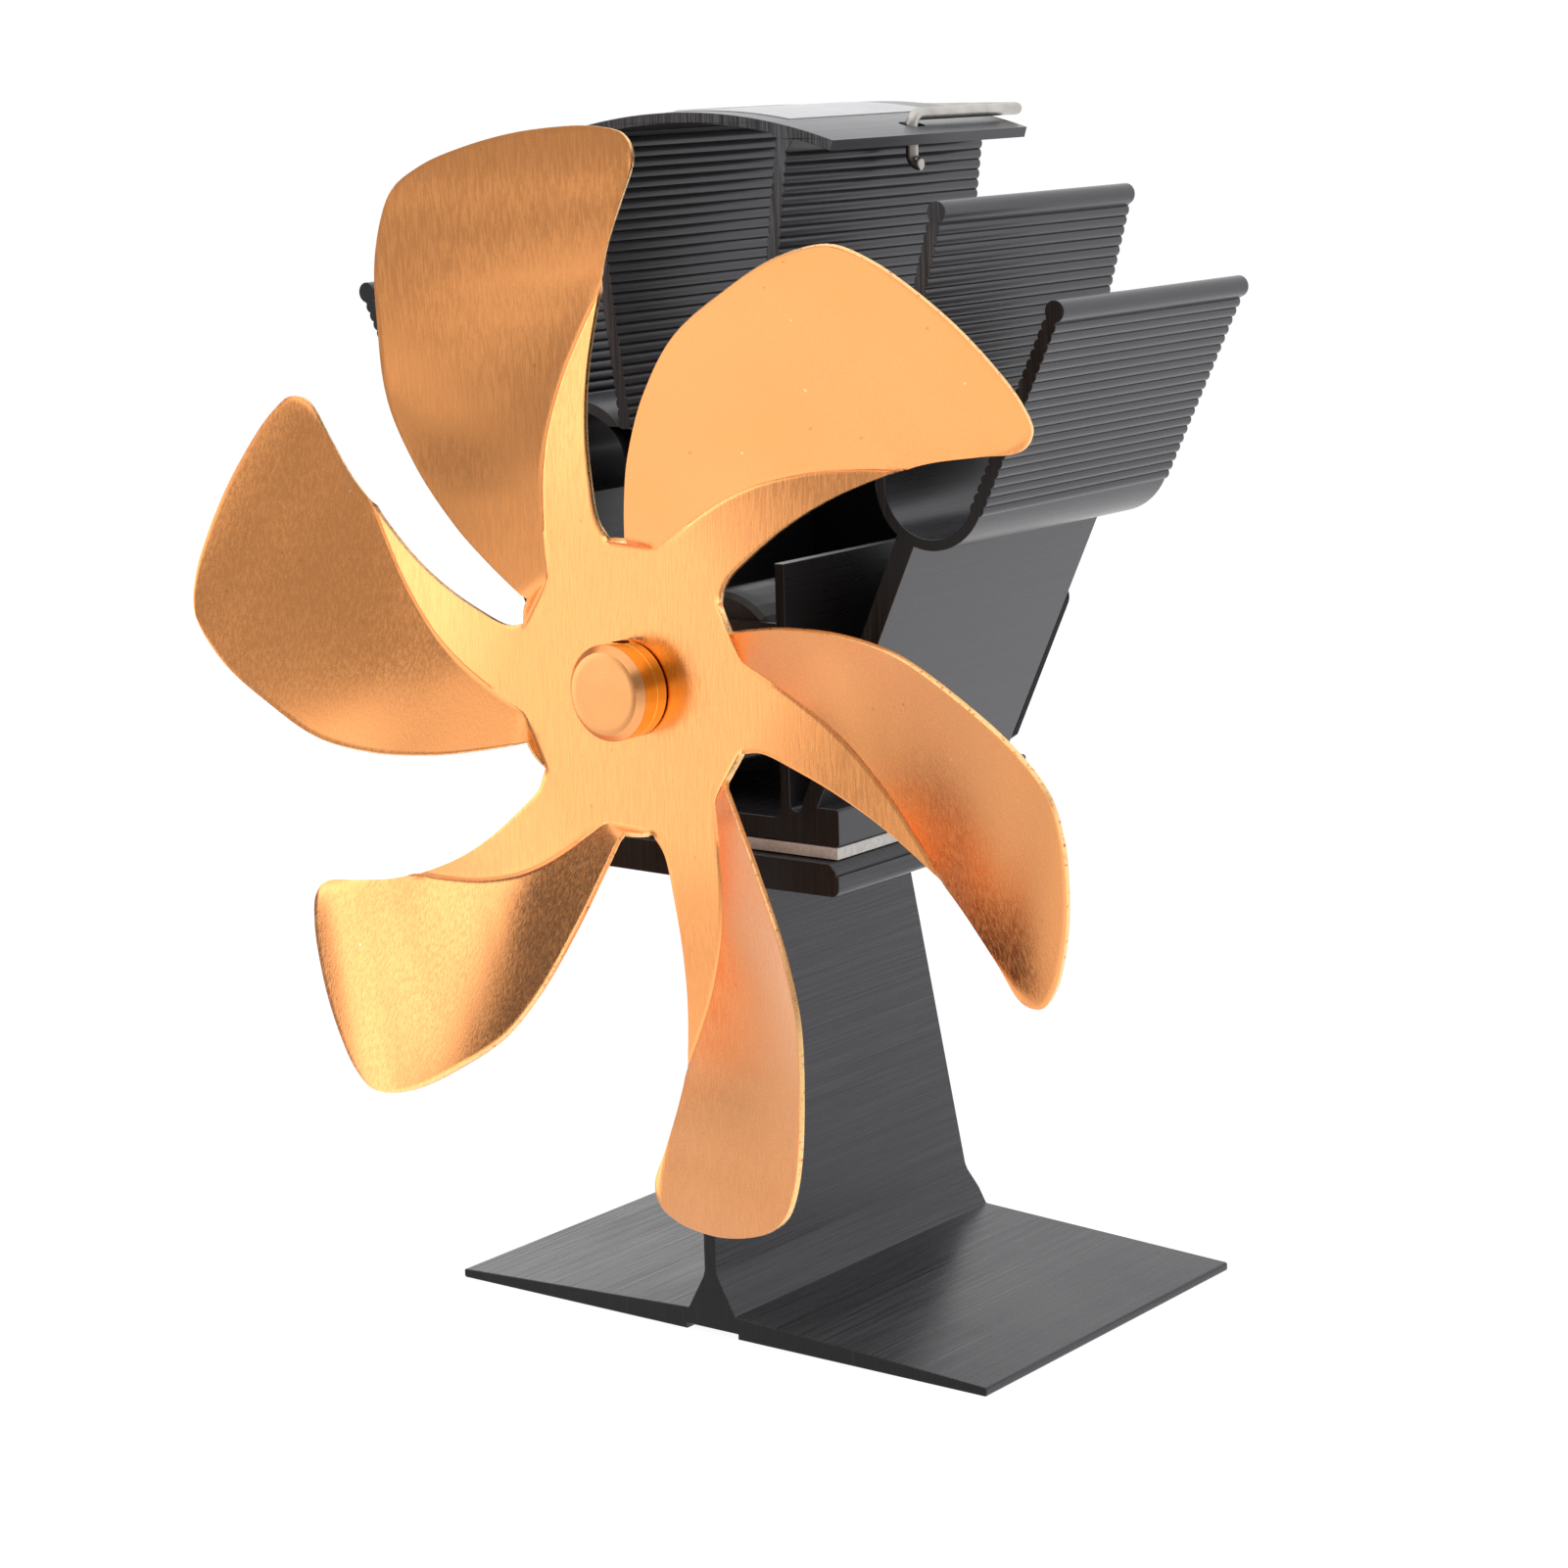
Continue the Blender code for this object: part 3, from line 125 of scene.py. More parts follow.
def white_studio():
    """A white floor and a white room, with a darker room in reflections, and three soft lamps."""
    world = bpy.data.worlds.new("white_room")
    bpy.context.scene.world = world
    world.use_nodes = True
    net = Net(world.node_tree)
    shine = world.node_tree.nodes["Background"]
    ray = net.node("ShaderNodeLightPath")
    room = room_in_reflections(net, net.parts(net.node("ShaderNodeTexCoord").outputs["Generated"]))
    seen = net.math("MAXIMUM", ray.outputs["Is Glossy Ray"], ray.outputs["Is Transmission Ray"])
    other = net.mix_value(seen, ROOM_LIGHT, room)
    net.link(net.mix_value(ray.outputs["Is Camera Ray"], other, 1.0), shine.inputs["Strength"])
    shine.inputs["Color"].default_value = (1, 1, 1, 1)

    far = FLOOR_SIDE
    sheet = bpy.data.meshes.new("floor")
    sheet.from_pydata([(-far, -far, 0), (far, -far, 0), (far, far, 0), (-far, far, 0)], [], [(0, 1, 2, 3)])
    floor = new_object("floor", sheet)
    floor.visible_glossy = False
    white = (0.9, 0.9, 0.9, 1)
    paper, net = new_finish("white_paper", Base_Color=white, Roughness=0.9, Specular_IOR_Level=0.1)
    glow = net.node("ShaderNodeEmission")
    glow.inputs["Strength"].default_value = FLOOR_GLOW
    both = net.node("ShaderNodeMixShader")
    to_camera = net.node("ShaderNodeLightPath").outputs["Is Camera Ray"]
    net.link(net.math("MULTIPLY", to_camera, FLOOR_GLOW_SHARE), both.inputs[0])
    net.link(net.tree.nodes["Principled BSDF"].outputs[0], both.inputs[1])
    net.link(glow.outputs[0], both.inputs[2])
    net.link(both.outputs[0], net.tree.nodes["Material Output"].inputs["Surface"])
    sheet.materials.append(paper)
    for lamp in LAMPS:
        soft_lamp(*lamp)
    bpy.context.scene.view_settings.view_transform = "Standard"


# Finishes


class Net:
    """Short ways of adding nodes to a material's or the world's tree."""

    def __init__(self, tree):
        self.tree = tree

    def link(self, source, target):
        self.tree.links.new(source, target)

    def put(self, value, socket):
        """Sets a socket to a number or colour, or links it."""
        if isinstance(value, bpy.types.NodeSocket):
            self.link(value, socket)
        else:
            socket.default_value = value

    def node(self, kind, **settings):
        made = self.tree.nodes.new(kind)
        for key, value in settings.items():
            setattr(made, key, value)
        return made

    def math(self, operation, a, b=0.0):
        made = self.node("ShaderNodeMath", operation=operation)
        self.put(a, made.inputs[0])
        self.put(b, made.inputs[1])
        return made.outputs[0]

    def parts(self, vector):
        """The X, Y and Z outputs of a vector."""
        made = self.node("ShaderNodeSeparateXYZ")
        self.link(vector, made.inputs[0])
        return made.outputs

    def steps(self, value, low, high, out_low=0.0, out_high=1.0):
        """A smooth rise of the value from low to high."""
        made = self.node("ShaderNodeMapRange", interpolation_type="SMOOTHSTEP")
        self.put(value, made.inputs["Value"])
        ends = {"From Min": low, "From Max": high, "To Min": out_low, "To Max": out_high}
        for key, number in ends.items():
            made.inputs[key].default_value = number
        return made.outputs["Result"]

    def mix_value(self, share, a, b, kind="VALUE"):
        """The mix of two numbers, or of two colours where the kind of socket is RGBA."""
        made = self.node("ShaderNodeMix", data_type="FLOAT" if kind == "VALUE" else kind)
        self.put(share, made.inputs[0])
        for value, key in ((a, "A"), (b, "B")):
            self.put(value, next(s for s in made.inputs if s.name == key and s.type == kind))
        return next(s for s in made.outputs if s.type == kind)

    def mix_colour(self, share, a, b):
        a, b = ((*tone, 1) if isinstance(tone, tuple) else tone for tone in (a, b))
        return self.mix_value(share, a, b, "RGBA")

    def place(self, scale=(1, 1, 1), shift=(0, 0, 0), turn=(0, 0, 0)):
        """Object coordinates, moved, turned and stretched."""
        where = self.node("ShaderNodeTexCoord")
        made = self.node("ShaderNodeMapping")
        self.link(where.outputs["Object"], made.inputs["Vector"])
        made.inputs["Location"].default_value = shift
        made.inputs["Rotation"].default_value = turn
        made.inputs["Scale"].default_value = scale
        return made.outputs[0]

    def noise(self, where, scale=1.0, detail=3.0, rough=0.55):
        made = self.node("ShaderNodeTexNoise")
        self.link(where, made.inputs["Vector"])
        made.inputs["Scale"].default_value = scale
        made.inputs["Detail"].default_value = detail
        made.inputs["Roughness"].default_value = rough
        return made.outputs["Fac"]

    def specks(self, where, scale, size):
        """1 in small round spots scattered over the surface, 0 elsewhere."""
        made = self.node("ShaderNodeTexVoronoi")
        self.link(where, made.inputs["Vector"])
        made.inputs["Scale"].default_value = scale
        near = self.steps(made.outputs["Distance"], size * 0.5, size, 1.0, 0.0)
        pick = self.parts(made.outputs["Color"])[0]
        return self.math("MULTIPLY", near, self.steps(pick, 0.62, 0.7))

    def bump(self, height, strength, distance, below=None):
        """A raised pattern, on top of another one if that is given."""
        made = self.node("ShaderNodeBump")
        self.link(height, made.inputs["Height"])
        made.inputs["Strength"].default_value = strength
        made.inputs["Distance"].default_value = distance
        if below is not None:
            self.link(below, made.inputs["Normal"])
        return made.outputs[0]

    def cover(self, tone, rough, normal):
        """Gives the material's shader a tone, a roughness and a surface."""
        for source, key in ((tone, "Base Color"), (rough, "Roughness"), (normal, "Normal")):
            self.link(source, self.tree.nodes["Principled BSDF"].inputs[key])


def new_finish(name, metallic=0.0, **sockets):
    """A Principled material with its plain sockets set; returns it with its net."""
    material = bpy.data.materials.new(name)
    material.use_nodes = True
    shader = material.node_tree.nodes["Principled BSDF"]
    shader.inputs["Metallic"].default_value = metallic
    for key, value in sockets.items():
        shader.inputs[key.replace("_", " ")].default_value = value
    return material, Net(material.node_tree)


def blackened(name, shine):
    """A Principled material with the cold shine of black anodising."""
    return new_finish(name, Specular_IOR_Level=shine, Specular_Tint=(0.93, 0.94, 1.0, 1.0))


def gold_sheet():
    """Gold anodised sheet: upright rolled grain, cloudy tone, fine sparkle, a few pits and pale nicks."""
    material, net = new_finish("gold_sheet", metallic=1.0, Coat_Weight=0.5, Coat_Roughness=0.28)
    grain = net.noise(net.place((2600, 2600, 240)), 1.0, 4.0, 0.65)
    cloud = net.noise(net.place(), 38.0, 3.0, 0.5)
    fine = net.noise(net.place(), 3600.0, 2.0, 0.6)
    pits = net.specks(net.place(), 240.0, 0.09)
    nicks = net.specks(net.place(shift=(0.5, 0.2, 0.1)), 150.0, 0.05)
    tone = net.mix_colour(net.steps(cloud, 0.3, 0.7), (0.92, 0.360, 0.108), (0.97, 0.388, 0.122))
    tone = net.mix_colour(net.steps(grain, 0.35, 0.75, 0.0, 0.4), tone, (0.99, 0.43, 0.14))
    tone = net.mix_colour(net.math("MULTIPLY", pits, 0.35), tone, (0.30, 0.13, 0.04))
    tone = net.mix_colour(net.math("MULTIPLY", nicks, 0.6), tone, (1.0, 0.75, 0.50))
    worn = net.steps(cloud, 0.3, 0.7, 0.17, 0.21)
    worn = net.math("ADD", worn, net.steps(grain, 0.38, 0.64, 0.0, 0.13))
    rolled = net.bump(grain, 0.90, 0.020 * MM)
    net.cover(tone, worn, net.bump(fine, 0.30, 0.012 * MM, rolled))
    return material


def gold_rim():
    """The sheared edge of the gold sheet: bright, with dark nicks."""
    material, net = new_finish("gold_rim", metallic=1.0)
    nicks = net.noise(net.place(), 1500.0, 3.0, 0.7)
    tone = net.mix_colour(net.steps(nicks, 0.55, 0.70), (0.98, 0.60, 0.27), (0.55, 0.22, 0.06))
    net.cover(tone, net.steps(nicks, 0.3, 0.7, 0.25, 0.5), net.bump(nicks, 0.3, 0.05 * MM))
    return material


def gold_turned(name, light, dark, rings, low, high):
    """Turned gold: rings round the fan's axis on a face, or thin lines round a barrel."""
    material, net = new_finish(name, metallic=1.0)
    if rings:
        flat = net.place((1, 0, 1), (0, 0, -AXIS_Z))
        out = net.node("ShaderNodeVectorMath", operation="LENGTH")
        net.link(flat, out.inputs[0])
        line = net.node("ShaderNodeCombineXYZ")
        net.link(out.outputs["Value"], line.inputs[0])
        marks = net.noise(line.outputs[0], 6500.0, 3.0, 0.7)
    else:
        marks = net.noise(net.place((0, 7000, 0)), 1.0, 2.0, 0.6)
    cloud = net.noise(net.place(), 160.0, 2.0, 0.5)
    tone = net.mix_colour(net.steps(marks, 0.3, 0.7), dark, light)
    net.cover(tone, net.steps(cloud, 0.3, 0.7, low, high), net.bump(marks, 0.5, 0.02 * MM))
    return material


def black_drawn(name="black_drawn", base=0.026, low=0.24, high=0.36, streak=0.5, shine=0.55):
    """Black anodised drawn face: die lines along Y, faint cloudiness and a few dust specks."""
    material, net = blackened(name, shine)
    lines = net.noise(net.place((2600, 9, 2600)), 1.0, 3.0, 0.6)
    cloud = net.noise(net.place(), 30.0, 3.0, 0.5)
    dust = net.specks(net.place(), 330.0, 0.05)
    dark, light, worn = (tuple(base * share for share in shares)
                         for shares in ((0.8, 0.8, 0.92), (1.2, 1.2, 1.38), (2.2, 2.2, 2.4)))
    tone = net.mix_colour(net.steps(cloud, 0.3, 0.7), dark, light)
    tone = net.mix_colour(net.steps(lines, 0.55, 0.8, 0.0, streak), tone, worn)
    tone = net.mix_colour(net.math("MULTIPLY", dust, 0.25), tone, (0.35, 0.35, 0.36))
    both = net.math("ADD", net.math("MULTIPLY", lines, 0.5), net.math("MULTIPLY", cloud, 0.5))
    net.cover(tone, net.steps(both, 0.3, 0.7, low, high), net.bump(lines, 0.12, 0.02 * MM))
    return material


def black_sawn():
    """Black anodised saw cut: upright saw lines and dull, made greyer near the top by painted light, except
    in the outer fins, which stay black.
    """
    material, net = blackened("black_sawn", 0.25)
    place = net.parts(net.place())
    out = net.math("ABSOLUTE", place["X"])
    # Painted light: the share of a lighter grey above about 140 mm, faded out towards the outer fins.
    pale = net.math("MULTIPLY", net.steps(place["Z"], 0.140, 0.190), net.steps(out, 0.046, 0.054, 1.0, 0.0))
    cut = net.noise(net.place((3200, 3200, 70)), 1.0, 3.0, 0.65)
    wide = net.noise(net.place((500, 500, 30), turn=(0, 0.06, 0)), 1.0, 2.0, 0.5)
    tone = net.mix_colour(net.steps(cut, 0.35, 0.75), (0.004, 0.0037, 0.0038), (0.020, 0.0185, 0.019))
    tone = net.mix_colour(net.steps(wide, 0.6, 0.8, 0.0, 0.4), tone, (0.045, 0.043, 0.044))
    grey = net.mix_colour(net.steps(cut, 0.38, 0.66), (0.018, 0.018, 0.019), (0.110, 0.110, 0.116))
    tone = net.mix_colour(pale, tone, grey)
    net.cover(tone, net.steps(cut, 0.3, 0.7, 0.38, 0.62), net.bump(cut, 0.45, 0.04 * MM))
    return material


def black_brushed():
    """Black anodised stand: brushed lines along Y, lighter where the brush bit."""
    material, net = blackened("black_brushed", 0.40)
    brush = net.noise(net.place((5200, 34, 5200)), 1.0, 4.0, 0.7)
    broad = net.noise(net.place((700, 12, 700)), 1.0, 2.0, 0.5)
    cloud = net.noise(net.place(), 22.0, 3.0, 0.5)
    tone = net.mix_colour(net.steps(brush, 0.35, 0.75), (0.010, 0.010, 0.012), (0.072, 0.072, 0.078))
    tone = net.mix_colour(net.steps(broad, 0.5, 0.8, 0.0, 0.4), tone, (0.075, 0.075, 0.08))
    bitten = net.steps(brush, 0.35, 0.65, 0.20, 0.44)
    rough = net.math("ADD", bitten, net.steps(cloud, 0.3, 0.7, -0.03, 0.05))
    net.cover(tone, rough, net.bump(brush, 0.35, 0.03 * MM))
    return material


def drawn_wire():
    """Satin stainless wire with fine drawing marks and a little tarnish."""
    material, net = new_finish("drawn_wire", metallic=1.0)
    fine = net.noise(net.place((900, 900, 2600)), 1.0, 3.0, 0.6)
    cloud = net.noise(net.place(), 120.0, 3.0, 0.5)
    tone = net.mix_colour(net.steps(cloud, 0.3, 0.7), (0.40, 0.38, 0.355), (0.54, 0.52, 0.49))
    tone = net.mix_colour(net.steps(fine, 0.5, 0.8, 0.0, 0.3), tone, (0.80, 0.78, 0.75))
    net.cover(tone, net.steps(fine, 0.3, 0.7, 0.34, 0.48), net.bump(fine, 0.2, 0.02 * MM))
    return material


def fine_finish(name, light, dark, rough, metallic=0.0, scale=900.0, bump=0.2, stretch=(1, 1, 1)):
    """A mottled finish for the smaller pieces: two tones, changing roughness and a fine surface."""
    material, net = new_finish(name, metallic=metallic)
    fine = net.noise(net.place(stretch), scale, 3.0, 0.6)
    cloud = net.noise(net.place(), scale * 0.12, 2.0, 0.5)
    share = net.math("ADD", net.math("MULTIPLY", fine, 0.6), net.math("MULTIPLY", cloud, 0.4))
    tone = net.mix_colour(net.steps(share, 0.35, 0.65), dark, light)
    worn = net.steps(cloud, 0.3, 0.7, rough * 0.85, rough * 1.15)
    net.cover(tone, worn, net.bump(fine, bump, 0.03 * MM))
    return material


# Surfaces on grids


def even_points(path, count):
    """Points at equal distances along a path."""
    run = np.concatenate([[0], np.cumsum(np.linalg.norm(np.diff(path, axis=0), axis=1))])
    want = np.linspace(0, run[-1], count + 1)
    return np.stack([np.interp(want, run, path[:, k]) for k in range(path.shape[1])], 1)


def curve_through(points, steps):
    """A curve through points: on each span from b to c, with a before and d after it, half of
    2b + (c - a) t + (2a - 5b + 4c - d) tt + (3b - a - 3c + d) ttt."""
    p = np.array(points, float)
    p = np.vstack([2 * p[0] - p[1], p, 2 * p[-1] - p[-2]])
    t = (np.arange(steps) / steps)[None, :, None]
    a, b, c, d = (p[i:len(p) - 3 + i, None, :] for i in range(4))
    spans = 2 * b + (c - a) * t + (2 * a - 5 * b + 4 * c - d) * t ** 2 + (3 * b - a - 3 * c + d) * t ** 3
    return np.vstack([0.5 * spans.reshape(-1, p.shape[1]), p[-2]])


def grid_faces(index):
    """Quads between neighbouring rows and columns of an index grid."""
    return np.stack([index[:-1, :-1], index[1:, :-1], index[1:, 1:], index[:-1, 1:]], -1).reshape(-1, 4)


def smooth_rise(value, start, end):
    """0 before start, 1 after end, and 3tt - 2ttt between them."""
    t = np.clip((value - start) / (end - start), 0, 1)
    return t * t * (3 - 2 * t)


def fill_mesh(name, points, faces):
    """A mesh from an array of points and lists of faces."""
    mesh = bpy.data.meshes.new(name)
    mesh.from_pydata(np.asarray(points).tolist(), [], [list(f) for f in faces])
    return mesh


def face_outwards(mesh):
    """Turns all faces of a closed mesh outwards."""
    work = bmesh.new()
    work.from_mesh(mesh)
    bmesh.ops.recalc_face_normals(work, faces=work.faces)
    work.to_mesh(mesh)
    work.free()
    return mesh


def closed_bar(first, last):
    """A closed bar between two like outlines, with quads between them and a face over each."""
    around = np.arange(len(first))
    following = np.roll(around, -1)
    beyond = around + len(first)
    sides = np.stack([around, following, following + len(first), beyond], 1).tolist()
    ends = [around.tolist(), beyond.tolist()]
    return face_outwards(fill_mesh("bar", np.vstack([first, last]), sides + ends))


def add_piece(name, mesh, materials, body, replaces=(), angle=30):
    """Puts a finished mesh in the scene as a piece of the fan that moves with a body."""
    piece = new_object(name, mesh)
    for material in materials:
        mesh.materials.append(material)
    mesh.shade_smooth()
    mesh.set_sharp_from_angle(angle=np.radians(angle))
    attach(piece, body)
    if replaces:
        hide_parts(*replaces)
    return piece


def inset_loop(loop, depth, hole):
    """A closed outline moved into the material: each point by depth along the mean of its two edges'
    inward normals, divided by the cosine of half their turn."""
    along = np.roll(loop, -1, axis=0) - loop
    along /= np.linalg.norm(along, axis=1)[:, None]
    normal = np.stack([-along[:, 1], along[:, 0]], 1)
    x, z = loop.T
    area = np.sum(x * np.roll(z, -1) - z * np.roll(x, -1))
    mean = normal + np.roll(normal, 1, axis=0)
    mean /= np.maximum(np.sum(mean * mean, 1), 1.0)[:, None] / 2
    return loop + mean * depth * np.sign(area) * (-1 if hole else 1)


def drawn_section(name, loops, front, back, edge_break):
    """A section in X and Z, the first loop its outside and the others its holes, carried from the front
    plane to the back plane. Material 0 is on its sides and 1 on its flat ends, whose edges are broken."""
    flat = np.vstack(loops)
    drawn_in = np.vstack([inset_loop(loop, edge_break, k > 0) for k, loop in enumerate(loops)])
    count = len(flat)
    rows = ((drawn_in, front), (flat, front + edge_break), (flat, back - edge_break), (drawn_in, back))
    points = np.concatenate([np.insert(ring, 1, y, axis=1) for ring, y in rows])
    sides = []
    start = 0
    for loop in loops:
        around = start + np.arange(len(loop))
        following = np.roll(around, -1)
        for level in (0, count, 2 * count):
            sides.append(np.stack([around, following, following + count, around + count], 1) + level)
        start += len(loop)
    sides = np.vstack(sides)
    caps = np.array(tessellate_polygon([[Vector((x, z, 0)) for x, z in loop] for loop in loops]))
    mesh = fill_mesh(name, points, sides.tolist() + caps.tolist() + (caps[:, ::-1] + 3 * count).tolist())
    index = np.zeros(len(mesh.polygons), np.int32)
    index[len(sides):] = 1
    mesh.polygons.foreach_set("material_index", index)
    return face_outwards(mesh)


def cut_mesh(mesh, tools):
    """Cuts a closed mesh with other closed meshes and returns what is left."""
    holder = new_object("holder", mesh)
    knives = [new_object("knife", tool) for tool in tools]
    for knife in knives:
        change = holder.modifiers.new("Cut", "BOOLEAN")
        change.operation, change.solver, change.object = "DIFFERENCE", "EXACT", knife
    bpy.context.view_layer.update()
    evaluated = holder.evaluated_get(bpy.context.evaluated_depsgraph_get())
    result = bpy.data.meshes.new_from_object(evaluated)
    for item in [holder] + knives:
        bpy.data.objects.remove(item, do_unlink=True)
    return result


def ring_surface(profile, steps):
    """A profile of (radius, y) turned round the Y axis: x = r sin a, z = r cos a.
    A point of the profile with radius 0 closes the surface with one vertex."""
    angles = np.linspace(0, 2 * np.pi, steps, endpoint=False)
    rows, points, faces = [], [], []
    total = 0
    for radius, y in profile:
        if radius == 0:
            points.append(np.array([[0, y, 0]]))
            rows.append(np.full(steps, total))
            total += 1
        else:
            x, z = radius * np.sin(angles), radius * np.cos(angles)
            points.append(np.stack([x, np.full(steps, y), z], 1))
            rows.append(total + np.arange(steps))
            total += steps
    for low, high in zip(rows, rows[1:]):
        quads = np.stack([low, np.roll(low, -1), np.roll(high, -1), high], 1)
        faces += [list(dict.fromkeys(q)) for q in quads.tolist()]
    return np.vstack(points), faces


def round_wire(path, radius, around):
    """A round wire along a path: each ring is c + r (n cos a + b sin a), with n carried along the path.
    Its two ends are rounded off by a first and a last ring that are a little smaller."""
    path = np.asarray(path, float)
    along = np.gradient(path, axis=0)
    along /= np.linalg.norm(along, axis=1)[:, None]
    normal = np.zeros_like(path)
    start = np.cross(along[0], [0.0, 1.0, 0.0])
    normal[0] = start / np.linalg.norm(start)
    for i in range(1, len(path)):
        carried = normal[i - 1] - along[i] * (normal[i - 1] @ along[i])
        normal[i] = carried / np.linalg.norm(carried)
    binormal = np.cross(along, normal)
    angles = np.linspace(0, 2 * np.pi, around, endpoint=False)[None, :, None]
    rounding = 0.16 * MM
    centres = np.vstack([path[:1], path, path[-1:]])
    centres[1] += along[0] * rounding
    centres[-2] -= along[-1] * rounding
    radii = np.pad(np.full(len(path), radius), 1, constant_values=radius - rounding)
    normal = np.vstack([normal[:1], normal, normal[-1:]])[:, None, :]
    binormal = np.vstack([binormal[:1], binormal, binormal[-1:]])[:, None, :]
    spokes = normal * np.cos(angles) + binormal * np.sin(angles)
    rings = centres[:, None, :] + radii[:, None, None] * spokes
    index = np.arange(rings.shape[0] * around).reshape(-1, around)
    index = np.concatenate([index, index[:, :1]], 1)
    faces = grid_faces(index).tolist()
    faces += [index[0, :-1].tolist(), index[-1, :-1].tolist()[::-1]]
    return rings.reshape(-1, 3), faces


# The pressed fan

STAND_FRONT = -23.5 * MM
DISC_Y = STAND_FRONT - 15.0 * MM
SHEET = 0.8 * MM
DISC_HOLE = 4.8 * MM
NOTCH_RADIUS = 23.5 * MM
FIRST_BLADE = 93.2

# One blade in mm, u out along its radial line and w across it: its outline from the concave edge's root
# round the tip to the convex edge's root, the points where the tip starts and ends, and its pressed fold.
BLADE_OUTLINE = [(23.6, 2.2), (27, 4.4), (33, 5.3), (41, 5.8), (50, 5.3), (60, 3.4), (68, 1), (76.1, -2.7),
                 (82.5, -5.8), (86.4, -4.7), (87.9, -1), (88.4, 4), (88, 12.1), (86.4, 20.2), (83.9, 27.3),
                 (79.7, 32.8), (70.9, 36.1), (60, 37.2), (47.9, 37), (36.9, 33.6), (27, 28.4), (20, 23.6),
                 (14.3, 19.2)]
TIP_START, TIP_END = 8, 15
FOLD_LINE = [(14, 15.4), (20, 15.4), (28, 15.4), (34.5, 14.9), (41, 13.5), (49, 10.4),
             (56, 6.6), (61, 3.5), (66, 0.6), (71, -1.6), (76, -3.0), (82.5, -4.8), (90, -5)]
FOLD_ROOT_W = 15.4 * MM

# What the press does along u: how steep the panel is, how far an arm falls back, how soft the fold is, and
# where the panel's scoop, the curl behind the fold, the pressed line and a notch's lip come and go.
PITCH_ROOT, PITCH_TIP, PITCH_SPAN = 0.60, 0.392, (12 * MM, 75 * MM)
FALL, FALL_END = 3.30 * MM, 80 * MM
FOLD_SOFTNESS, TIP_SOFTNESS, SOFT_SPAN = 0.35 * MM, 0.9 * MM, (60 * MM, 84 * MM)
SCOOP, SCOOP_IN, SCOOP_OUT = 1.0 * MM, (30 * MM, 46 * MM), (50 * MM, 80 * MM)
CURL, CURL_START, CURL_LENGTH, CURL_WIDTH = 1.0 * MM, 36 * MM, 28 * MM, 12 * MM
CURL_OUT = (60 * MM, 86 * MM)
GROOVE, GROOVE_WIDTH, GROOVE_OUT = 0.22 * MM, 0.32 * MM, (64 * MM, 70 * MM)
LIP_SLOPE, LIP_CORNER, LIP_SOFTNESS, LIP_REACH = 2.6, 65.3, 0.3 * MM, 6 * MM

# The fan's grid: rows out along a blade, columns of the arm, of the band about the fold, of the panel and
# of the gap between two roots, and the rings of the disc inside and outside the foot of the lips.
FAN_ROWS, ARM_COLUMNS, BAND_COLUMNS, PANEL_COLUMNS, GAP_COLUMNS = 64, 12, 14, 32, 13
FOLD_BAND = 0.035
INNER_RINGS, OUTER_RINGS = (DISC_HOLE, 19.5 * MM, 8), (20.3 * MM, NOTCH_RADIUS, 14)
SPAN_STEPS, TIP_STEPS, SEARCH_STEPS = 40, 200, 400

# The curled tips are drawn in by this share, which keeps them inside the solids' box.
TIP_SHRINK, SHRINK_SPAN = 0.0085, (50 * MM, 86 * MM)


def crease_w(u):
    """The fold's distance from the blade's radial line at a distance u along it, off FOLD_LINE's curve."""
    path = curve_through(FOLD_LINE, 24) * MM
    return np.interp(u, path[:, 0], path[:, 1])


def panel_share(u, across):
    """How far across the panel a point lies, from 0 at the fold to 1 at the convex edge: the distance
    across over the panel's width there."""
    edge = np.array(BLADE_OUTLINE[:TIP_END - 1:-1]) * MM
    width = np.interp(u, edge[:, 0], edge[:, 1]) - crease_w(u)
    return np.clip(across / np.maximum(width, MM), 0, 1)


def soft_positive(x, softness):
    """x where it is well above 0, 0 well below, and half of x plus the root of xx + ss between."""
    return 0.5 * (x + np.sqrt(x * x + softness * softness))


def notch_lip(u, w):
    """How high the sheet may stand near a notch: LIP_SLOPE times the distance out from the chord between
    the notch's far corner and the fold's root, and 0 on the disc's side of it."""
    corner = np.radians(LIP_CORNER)
    far_u, far_w = NOTCH_RADIUS * np.cos(corner), NOTCH_RADIUS * np.sin(corner)
    root_u = np.sqrt(NOTCH_RADIUS ** 2 - FOLD_ROOT_W ** 2)
    out = (u - far_u) * (far_w - FOLD_ROOT_W) + (w - far_w) * (root_u - far_u)
    out = out / np.hypot(root_u - far_u, FOLD_ROOT_W - far_w)
    return np.maximum(LIP_SLOPE * (soft_positive(out, LIP_SOFTNESS) - 0.02 * MM), 0)


